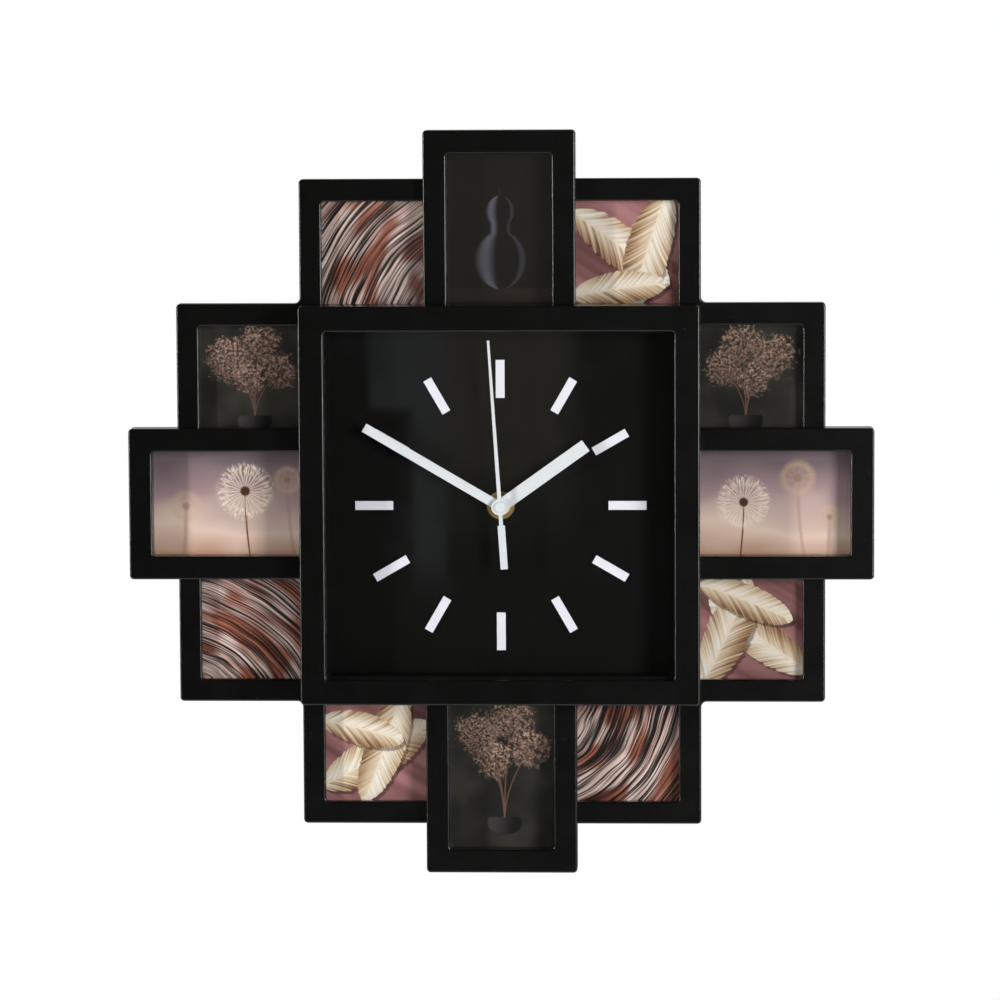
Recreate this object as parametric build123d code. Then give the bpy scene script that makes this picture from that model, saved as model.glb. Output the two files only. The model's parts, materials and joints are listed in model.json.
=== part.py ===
from build123d import *
from math import cos, pi, sin
import os

# Photo frame clock: twelve small picture frames in three stepped layers round a square clock.
# Millimetres. X is right, Z is up, and the front faces -Y. The origin is on the wall, behind the hands.
# Every level is a stand-off from the wall, so a larger level is nearer the viewer.

# Outline
OVERALL = 400.0
CORNER_SPAN = 348.0
ARM_WIDTH = 81.4
BEZEL_SPAN = 214.0
SHOULDER_STEP = 0.5
AXIS_DROP = 1.2

# Face widths of the three layers
ARM_FACE = 12.5
CORNER_FACE = 12.0
BEZEL_FACE = 13.6

# Stand-offs from the wall
BEZEL_FRONT = 45.0
ARM_FRONT = 31.0
CORNER_FRONT = 25.5
PANE_FRONT = 21.0
FRAME_BACK = 18.0
LENS_FRONT = 40.5
DIAL_FRONT = 25.0

# Roundings
OUTER_ROUND = 2.2
INNER_ROUND = 1.8
NOTCH_ROUND = 3.0
EDGE_FILLET = 1.0

# Clearances
ASSEMBLY_GAP = 0.1
PANE_GAP = 0.3
RUNNING_GAP = 0.05
SCREW_GAP = 0.02
SCREW_PASS_GAP = 0.1
SCREW_END_GAP = 0.5
BUTTON_GAP = 0.3
AXIAL_GAP = 0.3
SHEET_GAP = 0.05

# Window stack
PANE_LIP = 2.5
PANE_THICK = 1.0
PRINT_THICK = 0.3
BOARD_THICK = 1.5

# Clock box
BEZEL_PLATE = 2.5
BEZEL_WALL = 2.5
TUBE_WALL = 2.5
LENS_THICK = 1.5
LENS_LIP = 2.0
SURROUND_STEP = 1.4
DIAL_THICK = 1.5
RIB_WIDTH = 8.0
SNAP_LENGTH = 14.0
SNAP_HEIGHT = 1.2
SNAP_THICK = 1.5

# Screws and pegs
SCREW_RADIUS = 1.0
SCREW_HEAD_RADIUS = 2.2
SCREW_HEAD_HEIGHT = 1.2
BEZEL_SCREW_BITE = 8.0
BEZEL_SCREW_OFFSET = 68.0
PEG_RADIUS = 2.0
PEG_LENGTH = 3.0
PEG_INSET = 10.0
PEG_TIP_INSET = 40.0

# Turn buttons
BUTTON_LENGTH = 24.0
BUTTON_WIDTH = 6.0
BUTTON_THICK = 1.0
BUTTON_SCREW_BITE = 5.0

# Hanger
HANGER_THICK = 1.5
HANGER_WIDTH = 60.0
HANGER_HEIGHT = 16.0
KEYHOLE_HEAD_RADIUS = 4.5
KEYHOLE_SLOT_RADIUS = 2.25
KEYHOLE_SLOT_RISE = 6.0
KEYHOLE_HEAD_INSET = 5.5
LUG_WIDTH = 12.0
LUG_DEPTH = 6.0
LUG_INSET = 2.0
LUG_FLOOR = 1.0

# Dial
MARKER_COUNT = 12
MARKER_LENGTH = 20.4
MARKER_WIDTH = 4.75
MARKER_THICK = 0.8
MARKER_EDGE_GAP = 13.7

# Hands, with each angle clockwise from twelve, and each tip's gap to the surround when it points to a side
HOUR_TIP_GAP = 35.6
HOUR_WIDTH = 7.1
HOUR_ANGLE = 54.5
MINUTE_TIP_GAP = 7.7
MINUTE_WIDTH = 5.0
MINUTE_ANGLE = 300.4
SECOND_TIP_GAP = 2.5
SECOND_ROOT_WIDTH = 2.1
SECOND_TIP_WIDTH = 1.3
SECOND_ANGLE = 356.2
TAIL_LENGTH = 33.5
TAIL_NECK_LENGTH = 10.0
TAIL_NECK_WIDTH = 2.0
TAIL_WIDTH = 3.9
HAND_THICK = 0.5
HOUR_HUB_RADIUS = 4.6
MINUTE_HUB_RADIUS = 4.2
SECOND_HUB_RADIUS = 4.45
SECOND_CAP_RADIUS = 2.95
SECOND_HUB_THICK = 0.8
SECOND_CAP_HEIGHT = 1.0
SECOND_COLLAR_RADIUS = 1.6
COLLAR_WALL = 1.1
COLLAR_LENGTH = 1.0
HOUR_HAND_FRONT = 31.5
MINUTE_HAND_FRONT = 33.5
SECOND_HAND_FRONT = 35.7

# Fixing of the movement
GASKET_THICK = 0.8
GASKET_RADIUS = 12.0
BUSH_RADIUS = 4.0
BUSH_LENGTH = 7.3
DIAL_HOLE_GAP = 0.2
WASHER_RADIUS = 7.5
WASHER_THICK = 0.5
NUT_FLATS = 10.0
NUT_THICK = 2.5
BUSH_CHAMFER = 0.4

# Movement case
CASE_SIDE = 56.0
CASE_DEPTH = 16.0
CASE_WALL = 1.2
CASE_ROUND = 2.0
CASE_SPLIT = 8.0
CASE_EDGE = 0.6

# Coaxial arbors, with the radius of each pipe or spindle
SECOND_ARBOR_RADIUS = 0.7
MINUTE_PIPE_WALL = 0.95
HOUR_PIPE_WALL = 0.75
ARBOR_RADIUS = 0.5
PIVOT_DEPTH = 0.5
PIVOT_END_GAP = 0.1
SETTING_ARBOR_RADIUS = 0.7

# Wheel levels inside the case
FIRST_LEVEL = 1.0
LEVEL_PITCH = 1.9
WHEEL_THICK = 0.8
PINION_THICK = 1.2
HUB_RADIUS = 3.2
CLUTCH_HUB_RADIUS = 2.2
CLUTCH_RIM_RADIUS = 3.5
CLUTCH_COLLAR_RADIUS = 2.9
CLUTCH_COLLAR_THICK = 0.2

# Teeth, as shares of the module and of the tooth pitch
ADDENDUM = 0.8
DEDENDUM = 1.1
WHEEL_ROOT = 0.26
WHEEL_TIP = 0.10
PINION_ROOT = 0.19
PINION_TIP = 0.13

# Wheel train: centre distances, bearings from the hand axis and tooth counts
MOTION_DISTANCE = 11.2
MOTION_BEARING = 60.0
THIRD_DISTANCE = 11.0
THIRD_BEARING = 180.0
STEP_DISTANCE = 11.0
STEP_BEARING = 0.0
ROTOR_DISTANCE = 6.6
ROTOR_BEARING = 30.0
CANNON_TEETH = 12
MOTION_TEETH = 36
MOTION_PINION_TEETH = 10
HOUR_TEETH = 40
SECOND_PINION_TEETH = 8
THIRD_TEETH = 60
THIRD_PINION_TEETH = 8
CENTRE_TEETH = 64
SECOND_TEETH = 60
STEP_PINION_TEETH = 10
STEP_TEETH = 40
ROTOR_PINION_TEETH = 8

# Setting knob
KNOB_RADIUS = 7.0
KNOB_THICK = 1.6
KNOB_GAP = 0.4
KNOB_GROOVES = 24
KNOB_GROOVE_RADIUS = 0.45

# Motor
MAGNET_RADIUS = 2.5
MAGNET_LENGTH = 3.0
MAGNET_GAP = 0.3
STATOR_THICK = 1.0
STATOR_WIDTH = 12.0
STATOR_HEIGHT = 27.0
STATOR_LEG = 2.5
STATOR_POLE = 10.0
STATOR_OFFSET = 4.5
COIL_RADIUS = 3.1
COIL_FLANGE_RADIUS = 3.4
COIL_FLANGE_THICK = 0.7
COIL_LENGTH = 12.0
COIL_BORE_GAP = 0.2
POST_RADIUS = 1.5

# Circuit board
BOARD_WIDTH = 21.0
BOARD_HEIGHT = 12.0
CIRCUIT_THICK = 1.0
CIRCUIT_POST_HEIGHT = 1.0
CIRCUIT_POST_INSET = 3.0
CIRCUIT_MARGIN = 1.5
CHIP_INSET = 7.4
CHIP_RADIUS = 3.0
CHIP_HEIGHT = 1.0
CRYSTAL_RADIUS = 1.0
CRYSTAL_LENGTH = 6.0
CRYSTAL_SPACING = 1.0
CRYSTAL_SINK = 0.1

# Battery
BATTERY_RADIUS = 7.25
BATTERY_LENGTH = 49.25
BATTERY_NUB_RADIUS = 2.75
BATTERY_NUB_LENGTH = 1.25
BATTERY_GAP = 0.2
PARTITION_WALL = 0.9
CONTACT_THICK = 0.4
CONTACT_WIDTH = 9.0
BATTERY_CHAMFER = 0.2

# Lengths that differ by less than this are the same
NEAR = 1e-4

# Values worked out from the above
half_overall = OVERALL / 2
half_corner_span = CORNER_SPAN / 2
half_arm = ARM_WIDTH / 2
half_bezel = BEZEL_SPAN / 2
half_shoulder = half_bezel + SHOULDER_STEP
half_opening = half_bezel - BEZEL_FACE
half_arm_window = half_arm - ARM_FACE
arm_window_top = half_overall - ARM_FACE
corner_window_left = half_shoulder - CORNER_FACE
corner_window_top = half_corner_span - CORNER_FACE
half_dial_view = half_opening - SURROUND_STEP
half_tube_bore = half_opening + LENS_LIP
half_tube = half_tube_bore + TUBE_WALL
half_channel = half_bezel - BEZEL_WALL
half_centre_hole = half_tube + PANE_GAP
pane_back_level = PANE_FRONT - PANE_THICK
print_front_level = pane_back_level - SHEET_GAP
print_back_level = print_front_level - PRINT_THICK
board_back_level = print_back_level - BOARD_THICK
partition_mid = half_arm - ARM_FACE / 2
corner_window_mid = (corner_window_top + half_bezel) / 2
dial_back_level = DIAL_FRONT - DIAL_THICK
lens_back_level = LENS_FRONT - LENS_THICK
surround_front_level = lens_back_level - SHEET_GAP
half_dial = half_tube_bore - PANE_GAP
case_front_level = dial_back_level - GASKET_THICK
case_inner_front = case_front_level - CASE_WALL
case_back_level = case_front_level - CASE_DEPTH
case_inner_back = case_back_level + CASE_WALL
half_case = CASE_SIDE / 2
half_cavity = half_case - CASE_WALL
bush_front_level = case_inner_front + BUSH_LENGTH
marker_mid_radius = half_dial_view - MARKER_EDGE_GAP - MARKER_LENGTH / 2
hour_length = half_dial_view - HOUR_TIP_GAP
minute_length = half_dial_view - MINUTE_TIP_GAP
second_length = half_dial_view - SECOND_TIP_GAP
hanger_top = half_tube_bore - ASSEMBLY_GAP
hanger_bottom = hanger_top - HANGER_HEIGHT
keyhole_head_z = hanger_bottom + KEYHOLE_HEAD_INSET
lug_hole_front = HANGER_THICK + LUG_DEPTH - LUG_FLOOR

minute_pipe_bore = SECOND_ARBOR_RADIUS + RUNNING_GAP
minute_pipe_radius = minute_pipe_bore + MINUTE_PIPE_WALL
hour_pipe_bore = minute_pipe_radius + RUNNING_GAP
hour_pipe_radius = hour_pipe_bore + HOUR_PIPE_WALL
bush_bore = hour_pipe_radius + RUNNING_GAP

SIDES = ("top", "right", "bottom", "left")
CORNER_NAMES = {
    "top": ("top_left", "top_right"),
    "right": ("right_upper", "right_lower"),
    "bottom": ("bottom_right", "bottom_left"),
    "left": ("left_lower", "left_upper"),
}


def slab(face, back, front):
    """Solid of a flat outline in X and Z, between two stand-offs from the wall."""
    return extrude(Plane.XZ.offset(back) * face, amount=front - back)


def rod(x, z, radius, back, front):
    return slab(Pos(x, z) * Circle(radius), back, front)


def ring(x, z, bore, radius, back, front):
    return slab(Pos(x, z) * (Circle(radius) - Circle(bore)), back, front)


def block(left, right, bottom, top, back, front):
    face = Pos((left + right) / 2, (bottom + top) / 2) * Rectangle(right - left, top - bottom)
    return slab(face, back, front)


def box_face(left, right, bottom, top):
    return Pos((left + right) / 2, (bottom + top) / 2) * Rectangle(right - left, top - bottom)


def rounded_square(half, radius):
    return RectangleRounded(2 * half, 2 * half, radius)


def clockwise(shape, angle):
    """Turns a shape about the hand axis, clockwise as seen from the front."""
    return Rot(0, angle, 0) * shape


def polar(distance, bearing):
    """Place at a distance from the hand axis; the bearing is anticlockwise from +X, seen from the front."""
    return distance * cos(bearing * pi / 180), distance * sin(bearing * pi / 180)


def level(step):
    """Mid stand-off of a wheel level, counted from the front of the case."""
    return case_inner_front - FIRST_LEVEL - LEVEL_PITCH * step


def front_edges(shape, front, keep):
    """Edges in the plane of the given stand-off whose middle passes the keep test."""
    found = [e for e in shape.edges() if abs(e.bounding_box().max.Y + front) < NEAR
             and abs(e.bounding_box().min.Y + front) < NEAR]
    return [e for e in found if keep((e @ 0.5).X, (e @ 0.5).Z)]


def save(shape, name):
    export_step(shape, f"parts/{name}.step")


def group(solids):
    return Compound(children=list(solids))


# Frames

def plus_face():
    """Outline of the back layer without its arms: two crossed rectangles with rounded corners."""
    a = half_corner_span
    b = half_shoulder
    quarter = [(a, b), (b, b), (b, a)]
    points = []
    for turn in range(4):
        c = round(cos(turn * pi / 2))
        s = round(sin(turn * pi / 2))
        points += [(x * c - z * s, x * s + z * c) for x, z in quarter]
    face = make_face(Polyline(*points, close=True))
    tips = [v for v in face.vertices() if abs(abs(v.X) - abs(v.Y)) > NEAR]
    face = fillet(tips, OUTER_ROUND)
    notches = [v for v in face.vertices() if abs(abs(v.X) - abs(v.Y)) < NEAR]
    return fillet(notches, NOTCH_ROUND)


def arm_face(lowest):
    """Outline of the top arm, from a height above the hand axis to its rounded end."""
    face = box_face(-half_arm, half_arm, lowest, half_overall)
    tips = [v for v in face.vertices() if v.Y > half_overall - NEAR]
    return fillet(tips, OUTER_ROUND)


def window_face(left, right, bottom, top, radius, rounded):
    """Window outline with its corners rounded where the rounded test says so."""
    face = box_face(left, right, bottom, top)
    corners = [v for v in face.vertices() if rounded(v.X, v.Y)]
    return fillet(corners, radius)


def arm_window_face(lowest):
    return window_face(-half_arm_window, half_arm_window, lowest, arm_window_top, INNER_ROUND,
                       lambda x, z: z > half_bezel)


def corner_window_face(side, inward, lowest):
    """Window of a corner frame; it runs on under the arm and the bezel by the given amounts."""
    right = -half_arm + inward
    face = window_face(-corner_window_left, right, lowest, corner_window_top, INNER_ROUND,
                       lambda x, z: x < -half_arm and z > half_bezel)
    return face if side < 0 else mirror(face, about=Plane.YZ)


def corner_seat_face(side, shrink):
    """Seat of a corner pane: its window grown by the lip, and tucked under the bezel and the arm."""
    face = box_face(-corner_window_left - PANE_LIP + shrink, -half_arm + PANE_LIP - shrink,
                    half_bezel - PANE_LIP + shrink, corner_window_top + PANE_LIP - shrink)
    return face if side < 0 else mirror(face, about=Plane.YZ)


def arm_seat_face(shrink):
    edge = half_arm_window + PANE_LIP - shrink
    return box_face(-edge, edge, half_bezel - PANE_LIP + shrink, arm_window_top + PANE_LIP - shrink)


def make_base_frame():
    lip = slab(plus_face(), PANE_FRONT, CORNER_FRONT)
    for turn in range(4):
        for side in (-1, 1):
            hole = slab(corner_window_face(side, ARM_FACE, half_channel), PANE_FRONT, CORNER_FRONT)
            lip = lip - clockwise(hole, 90 * turn)
    lip = fillet(front_edges(lip, CORNER_FRONT, lambda x, z: True), EDGE_FILLET)
    arms = [clockwise(slab(arm_face(0), PANE_FRONT, CORNER_FRONT), 90 * turn) for turn in range(4)]
    lip = lip + arms
    lip = lip - slab(rounded_square(half_bezel + ASSEMBLY_GAP, OUTER_ROUND), PANE_FRONT, CORNER_FRONT)
    for turn in range(4):
        lip = lip - clockwise(slab(arm_window_face(0), PANE_FRONT, CORNER_FRONT), 90 * turn)

    rear = slab(plus_face(), FRAME_BACK, PANE_FRONT)
    rear = rear + [clockwise(slab(arm_face(0), FRAME_BACK, PANE_FRONT), 90 * turn) for turn in range(4)]
    rear = rear - slab(rounded_square(half_centre_hole, INNER_ROUND), FRAME_BACK, PANE_FRONT)
    for turn in range(4):
        seats = [arm_seat_face(0), corner_seat_face(-1, 0), corner_seat_face(1, 0)]
        for seat in seats:
            rear = rear - clockwise(slab(seat, FRAME_BACK, PANE_FRONT), 90 * turn)

    base = lip + rear
    for x, z in button_places():
        base = base - rod(x, z, SCREW_RADIUS + SCREW_GAP, FRAME_BACK, FRAME_BACK + BUTTON_SCREW_BITE)
    for x, z in bezel_screw_places():
        base = base - rod(x, z, SCREW_RADIUS + SCREW_PASS_GAP, FRAME_BACK, PANE_FRONT)
    for turn in range(4):
        for x, z in peg_places():
            hole = rod(x, z, PEG_RADIUS + SCREW_GAP, CORNER_FRONT - PEG_LENGTH, CORNER_FRONT)
            base = base - clockwise(hole, 90 * turn)
    return base


def peg_places():
    """Pegs of the top arm frame: two beside the bezel and two near the tip."""
    low = half_bezel + PEG_INSET
    high = half_overall - PEG_TIP_INSET
    return [(x, z) for x in (-partition_mid, partition_mid) for z in (low, high)]


def make_arm_frame():
    """Raised frame of the top arm, open where it meets the bezel."""
    start = half_bezel + ASSEMBLY_GAP
    shape = slab(arm_face(start), CORNER_FRONT, ARM_FRONT)
    shape = shape - slab(arm_window_face(0), CORNER_FRONT, ARM_FRONT)
    edges = front_edges(shape, ARM_FRONT, lambda x, z: z > start + NEAR)
    shape = fillet(edges, EDGE_FILLET)
    for x, z in peg_places():
        shape = shape + rod(x, z, PEG_RADIUS, CORNER_FRONT - PEG_LENGTH + ASSEMBLY_GAP, CORNER_FRONT)
    return shape


# Clock box

def bezel_screw_places():
    mid = (half_tube + half_channel) / 2
    places = []
    for turn in range(4):
        c = round(cos(turn * pi / 2))
        s = round(sin(turn * pi / 2))
        for x in (-BEZEL_SCREW_OFFSET, BEZEL_SCREW_OFFSET):
            places.append((x * c - mid * s, x * s + mid * c))
    return places


def make_bezel():
    channel_roof = BEZEL_FRONT - BEZEL_PLATE
    shell = slab(rounded_square(half_bezel, OUTER_ROUND), PANE_FRONT, BEZEL_FRONT)
    shell = shell - slab(rounded_square(half_opening, INNER_ROUND), PANE_FRONT, BEZEL_FRONT)
    shell = fillet(front_edges(shell, BEZEL_FRONT, lambda x, z: True), EDGE_FILLET)
    channel = rounded_square(half_channel, OUTER_ROUND) - rounded_square(half_tube, INNER_ROUND)
    shell = shell - slab(channel, PANE_FRONT, channel_roof)
    shell = shell - slab(rounded_square(half_tube_bore, INNER_ROUND), PANE_FRONT, LENS_FRONT)
    tube = rounded_square(half_tube, INNER_ROUND) - rounded_square(half_tube_bore, INNER_ROUND)
    shell = shell + slab(tube, 0, PANE_FRONT)
    for x, z in bezel_screw_places():
        along, across = RIB_WIDTH / 2, (half_channel - half_tube) / 2
        wide, high = (across, along) if abs(x) > abs(z) else (along, across)
        shell = shell + block(x - wide, x + wide, z - high, z + high, PANE_FRONT, channel_roof)
        shell = shell - rod(x, z, SCREW_RADIUS + SCREW_GAP, PANE_FRONT, PANE_FRONT + BEZEL_SCREW_BITE)
    snap_front = dial_back_level - AXIAL_GAP
    for turn in range(4):
        for x in (-BEZEL_SCREW_OFFSET, BEZEL_SCREW_OFFSET):
            snap = block(x - SNAP_LENGTH / 2, x + SNAP_LENGTH / 2, half_tube_bore - SNAP_HEIGHT,
                         half_tube_bore + TUBE_WALL / 2, snap_front - SNAP_THICK, snap_front)
            shell = shell + clockwise(snap, 90 * turn)
    for side in (-1, 1):
        x = side * (HANGER_WIDTH - LUG_WIDTH) / 2
        lug = block(x - LUG_WIDTH / 2, x + LUG_WIDTH / 2, hanger_bottom + LUG_INSET,
                    half_tube_bore + TUBE_WALL / 2, HANGER_THICK, HANGER_THICK + LUG_DEPTH)
        shell = shell + lug
        shell = shell - rod(x, hanger_screw_z(), SCREW_RADIUS + SCREW_GAP, HANGER_THICK, lug_hole_front)
    return shell


def hanger_screw_z():
    return (hanger_top + hanger_bottom + LUG_INSET) / 2


def make_hanger_plate():
    plate = slab(box_face(-HANGER_WIDTH / 2, HANGER_WIDTH / 2, hanger_bottom, hanger_top), 0, HANGER_THICK)
    corners = plate.edges().filter_by(Axis.Y)
    plate = fillet(corners, OUTER_ROUND)
    slot_top = keyhole_head_z + KEYHOLE_SLOT_RISE
    plate = plate - rod(0, keyhole_head_z, KEYHOLE_HEAD_RADIUS, 0, HANGER_THICK)
    plate = plate - rod(0, slot_top, KEYHOLE_SLOT_RADIUS, 0, HANGER_THICK)
    plate = plate - block(-KEYHOLE_SLOT_RADIUS, KEYHOLE_SLOT_RADIUS, keyhole_head_z, slot_top, 0, HANGER_THICK)
    for side in (-1, 1):
        x = side * (HANGER_WIDTH - LUG_WIDTH) / 2
        plate = plate - countersunk(x, hanger_screw_z(), SCREW_GAP)
    return plate


def countersunk(x, z, gap):
    """Flat-headed screw flush with the wall side of the hanger, grown by a gap for its hole."""
    head = Cone(SCREW_RADIUS + gap, SCREW_HEAD_RADIUS + gap, HANGER_THICK)
    head = Pos(x, -HANGER_THICK / 2, z) * Rot(-90, 0, 0) * head
    return head


def make_hanger_screws():
    solids = []
    for side in (-1, 1):
        x = side * (HANGER_WIDTH - LUG_WIDTH) / 2
        shank = rod(x, hanger_screw_z(), SCREW_RADIUS, HANGER_THICK, lug_hole_front - SCREW_END_GAP)
        solids.append(countersunk(x, hanger_screw_z(), 0) + shank)
    return group(solids)


def make_lens():
    return slab(rounded_square(half_dial, INNER_ROUND), lens_back_level, LENS_FRONT)


def make_dial_surround():
    """Square ring that spaces the lens from the dial."""
    face = rounded_square(half_dial, INNER_ROUND) - rounded_square(half_dial_view, INNER_ROUND)
    return slab(face, DIAL_FRONT, surround_front_level)


def make_dial():
    face = Pos(0, AXIS_DROP) * rounded_square(half_dial, INNER_ROUND) - Circle(BUSH_RADIUS + DIAL_HOLE_GAP)
    return slab(face, dial_back_level, DIAL_FRONT)


def make_markers():
    bars = []
    for n in range(MARKER_COUNT):
        bar = slab(Pos(0, marker_mid_radius) * Rectangle(MARKER_WIDTH, MARKER_LENGTH),
                   DIAL_FRONT, DIAL_FRONT + MARKER_THICK)
        bars.append(clockwise(bar, 360 / MARKER_COUNT * n))
    return group(bars)


# Hands

def flat_hand(face, front, bore):
    return slab(face - Circle(bore), front - HAND_THICK, front)


def make_hour_hand():
    face = box_face(-HOUR_WIDTH / 2, HOUR_WIDTH / 2, 0, hour_length) + Circle(HOUR_HUB_RADIUS)
    bore = hour_pipe_radius + SCREW_GAP
    hand = flat_hand(face, HOUR_HAND_FRONT, bore)
    back = HOUR_HAND_FRONT - HAND_THICK
    hand = hand + ring(0, 0, bore, hour_pipe_radius + COLLAR_WALL, back - COLLAR_LENGTH, back)
    return clockwise(hand, HOUR_ANGLE)


def make_minute_hand():
    face = box_face(-MINUTE_WIDTH / 2, MINUTE_WIDTH / 2, 0, minute_length) + Circle(MINUTE_HUB_RADIUS)
    bore = minute_pipe_radius + SCREW_GAP
    hand = flat_hand(face, MINUTE_HAND_FRONT, bore)
    back = MINUTE_HAND_FRONT - HAND_THICK
    hand = hand + ring(0, 0, bore, minute_pipe_radius + COLLAR_WALL, back - COLLAR_LENGTH, back)
    return clockwise(hand, MINUTE_ANGLE)


def make_second_hand():
    """Tapered needle with a paddle tail, a round hub and a raised cap."""
    needle = make_face(Polyline((-SECOND_ROOT_WIDTH / 2, 0), (-SECOND_TIP_WIDTH / 2, second_length),
                                (SECOND_TIP_WIDTH / 2, second_length), (SECOND_ROOT_WIDTH / 2, 0), close=True))
    neck = box_face(-TAIL_NECK_WIDTH / 2, TAIL_NECK_WIDTH / 2, -TAIL_LENGTH, 0)
    tail = box_face(-TAIL_WIDTH / 2, TAIL_WIDTH / 2, -TAIL_LENGTH, -TAIL_NECK_LENGTH)
    face = needle + neck + tail
    back = SECOND_HAND_FRONT - HAND_THICK
    hub_front = back + SECOND_HUB_THICK
    cap_front = hub_front + SECOND_CAP_HEIGHT
    hand = slab(face, back, SECOND_HAND_FRONT) + rod(0, 0, SECOND_HUB_RADIUS, back, hub_front)
    cap = rod(0, 0, SECOND_CAP_RADIUS, hub_front, cap_front)
    cap = fillet(front_edges(cap, cap_front, lambda x, z: True), SECOND_CAP_HEIGHT / 2)
    hand = hand + cap + rod(0, 0, SECOND_COLLAR_RADIUS, back - COLLAR_LENGTH, back)
    hand = hand - rod(0, 0, SECOND_ARBOR_RADIUS + SCREW_GAP, back - COLLAR_LENGTH, second_arbor_front())
    return clockwise(hand, SECOND_ANGLE)


def second_arbor_front():
    return SECOND_HAND_FRONT + SECOND_HUB_THICK


# Movement

def gear_face(teeth, module, x, z, phase, root, tip):
    """Toothed outline with straight flanks; the phase is the bearing of one tooth."""
    step = 2 * pi / teeth
    inner = teeth * module / 2 - DEDENDUM * module
    outer = teeth * module / 2 + ADDENDUM * module
    points = []
    for n in range(teeth):
        mid = phase * pi / 180 + n * step
        for radius, share in ((inner, -root), (outer, -tip), (outer, tip), (inner, root)):
            angle = mid + share * step
            points.append((x + radius * cos(angle), z + radius * sin(angle)))
    return make_face(Polyline(*points, close=True))


def wheel(teeth, module, x, z, phase, mid):
    face = gear_face(teeth, module, x, z, phase, WHEEL_ROOT, WHEEL_TIP)
    return slab(face, mid - WHEEL_THICK / 2, mid + WHEEL_THICK / 2)


def pinion(teeth, module, x, z, phase, mid):
    face = gear_face(teeth, module, x, z, phase, PINION_ROOT, PINION_TIP)
    return slab(face, mid - PINION_THICK / 2, mid + PINION_THICK / 2)


def module_of(distance, teeth_a, teeth_b):
    return 2 * distance / (teeth_a + teeth_b)


def gap_phase(bearing, teeth):
    """Phase that puts a gap between two teeth on the line back along a bearing."""
    return bearing + 180 + 180 / teeth


motion_x, motion_z = polar(MOTION_DISTANCE, MOTION_BEARING)
third_x, third_z = polar(THIRD_DISTANCE, THIRD_BEARING)
step_x, step_z = polar(STEP_DISTANCE, STEP_BEARING)
rotor_dx, rotor_dz = polar(ROTOR_DISTANCE, ROTOR_BEARING)
rotor_x, rotor_z = step_x + rotor_dx, step_z + rotor_dz
setting_module = module_of(MOTION_DISTANCE, CANNON_TEETH, MOTION_TEETH)
hour_module = module_of(MOTION_DISTANCE, MOTION_PINION_TEETH, HOUR_TEETH)
third_module = module_of(THIRD_DISTANCE, SECOND_PINION_TEETH, THIRD_TEETH)
centre_module = module_of(THIRD_DISTANCE, THIRD_PINION_TEETH, CENTRE_TEETH)
second_module = module_of(STEP_DISTANCE, STEP_PINION_TEETH, SECOND_TEETH)
step_module = module_of(ROTOR_DISTANCE, ROTOR_PINION_TEETH, STEP_TEETH)
pivot_front = case_inner_front + PIVOT_DEPTH
pivot_back = case_inner_back - PIVOT_DEPTH


def arbor(x, z):
    return rod(x, z, ARBOR_RADIUS, pivot_back, pivot_front)


def make_hour_wheel():
    disc = wheel(HOUR_TEETH, hour_module, 0, 0, gap_phase(MOTION_BEARING + 180, HOUR_TEETH), level(0))
    hub = rod(0, 0, HUB_RADIUS, level(0) - LEVEL_PITCH / 2, case_inner_front - AXIAL_GAP)
    pipe = rod(0, 0, hour_pipe_radius, case_inner_front - AXIAL_GAP, HOUR_HAND_FRONT)
    return disc + hub + pipe - rod(0, 0, hour_pipe_bore, 0, HOUR_HAND_FRONT)


def make_minute_tube():
    cannon = pinion(CANNON_TEETH, setting_module, 0, 0, MOTION_BEARING, level(1))
    cannon_back = level(1) - PINION_THICK / 2
    hub_back = level(2) - WHEEL_THICK
    tube = cannon + rod(0, 0, minute_pipe_radius, cannon_back, MINUTE_HAND_FRONT)
    tube = tube + rod(0, 0, CLUTCH_HUB_RADIUS, hub_back, cannon_back)
    tube = tube + rod(0, 0, CLUTCH_COLLAR_RADIUS, hub_back - CLUTCH_COLLAR_THICK, hub_back)
    return tube - rod(0, 0, minute_pipe_bore, 0, MINUTE_HAND_FRONT)


def make_motion_wheel():
    disc = wheel(MOTION_TEETH, setting_module, motion_x, motion_z,
                 gap_phase(MOTION_BEARING, MOTION_TEETH), level(1))
    leaf = pinion(MOTION_PINION_TEETH, hour_module, motion_x, motion_z, MOTION_BEARING + 180, level(0))
    knob_back = case_back_level - KNOB_GAP - KNOB_THICK
    stem = rod(motion_x, motion_z, SETTING_ARBOR_RADIUS, knob_back + AXIAL_GAP, pivot_front)
    return disc + leaf + stem


def make_set_knob():
    front = case_back_level - KNOB_GAP
    knob = rod(motion_x, motion_z, KNOB_RADIUS, front - KNOB_THICK, front)
    for n in range(KNOB_GROOVES):
        dx, dz = polar(KNOB_RADIUS, 360 / KNOB_GROOVES * n)
        knob = knob - rod(motion_x + dx, motion_z + dz, KNOB_GROOVE_RADIUS, front - KNOB_THICK, front)
    return knob - rod(motion_x, motion_z, SETTING_ARBOR_RADIUS + SCREW_GAP, front - KNOB_THICK, front)


def make_centre_wheel():
    disc = wheel(CENTRE_TEETH, centre_module, 0, 0, gap_phase(THIRD_BEARING + 180, CENTRE_TEETH), level(2))
    rim = rod(0, 0, CLUTCH_RIM_RADIUS, level(2) - WHEEL_THICK + RUNNING_GAP, level(2) + WHEEL_THICK)
    return disc + rim - rod(0, 0, CLUTCH_HUB_RADIUS + RUNNING_GAP, 0, case_front_level)


def make_third_wheel():
    disc = wheel(THIRD_TEETH, third_module, third_x, third_z, gap_phase(THIRD_BEARING, THIRD_TEETH), level(3))
    leaf = pinion(THIRD_PINION_TEETH, centre_module, third_x, third_z, THIRD_BEARING + 180, level(2))
    return disc + leaf + arbor(third_x, third_z)


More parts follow.
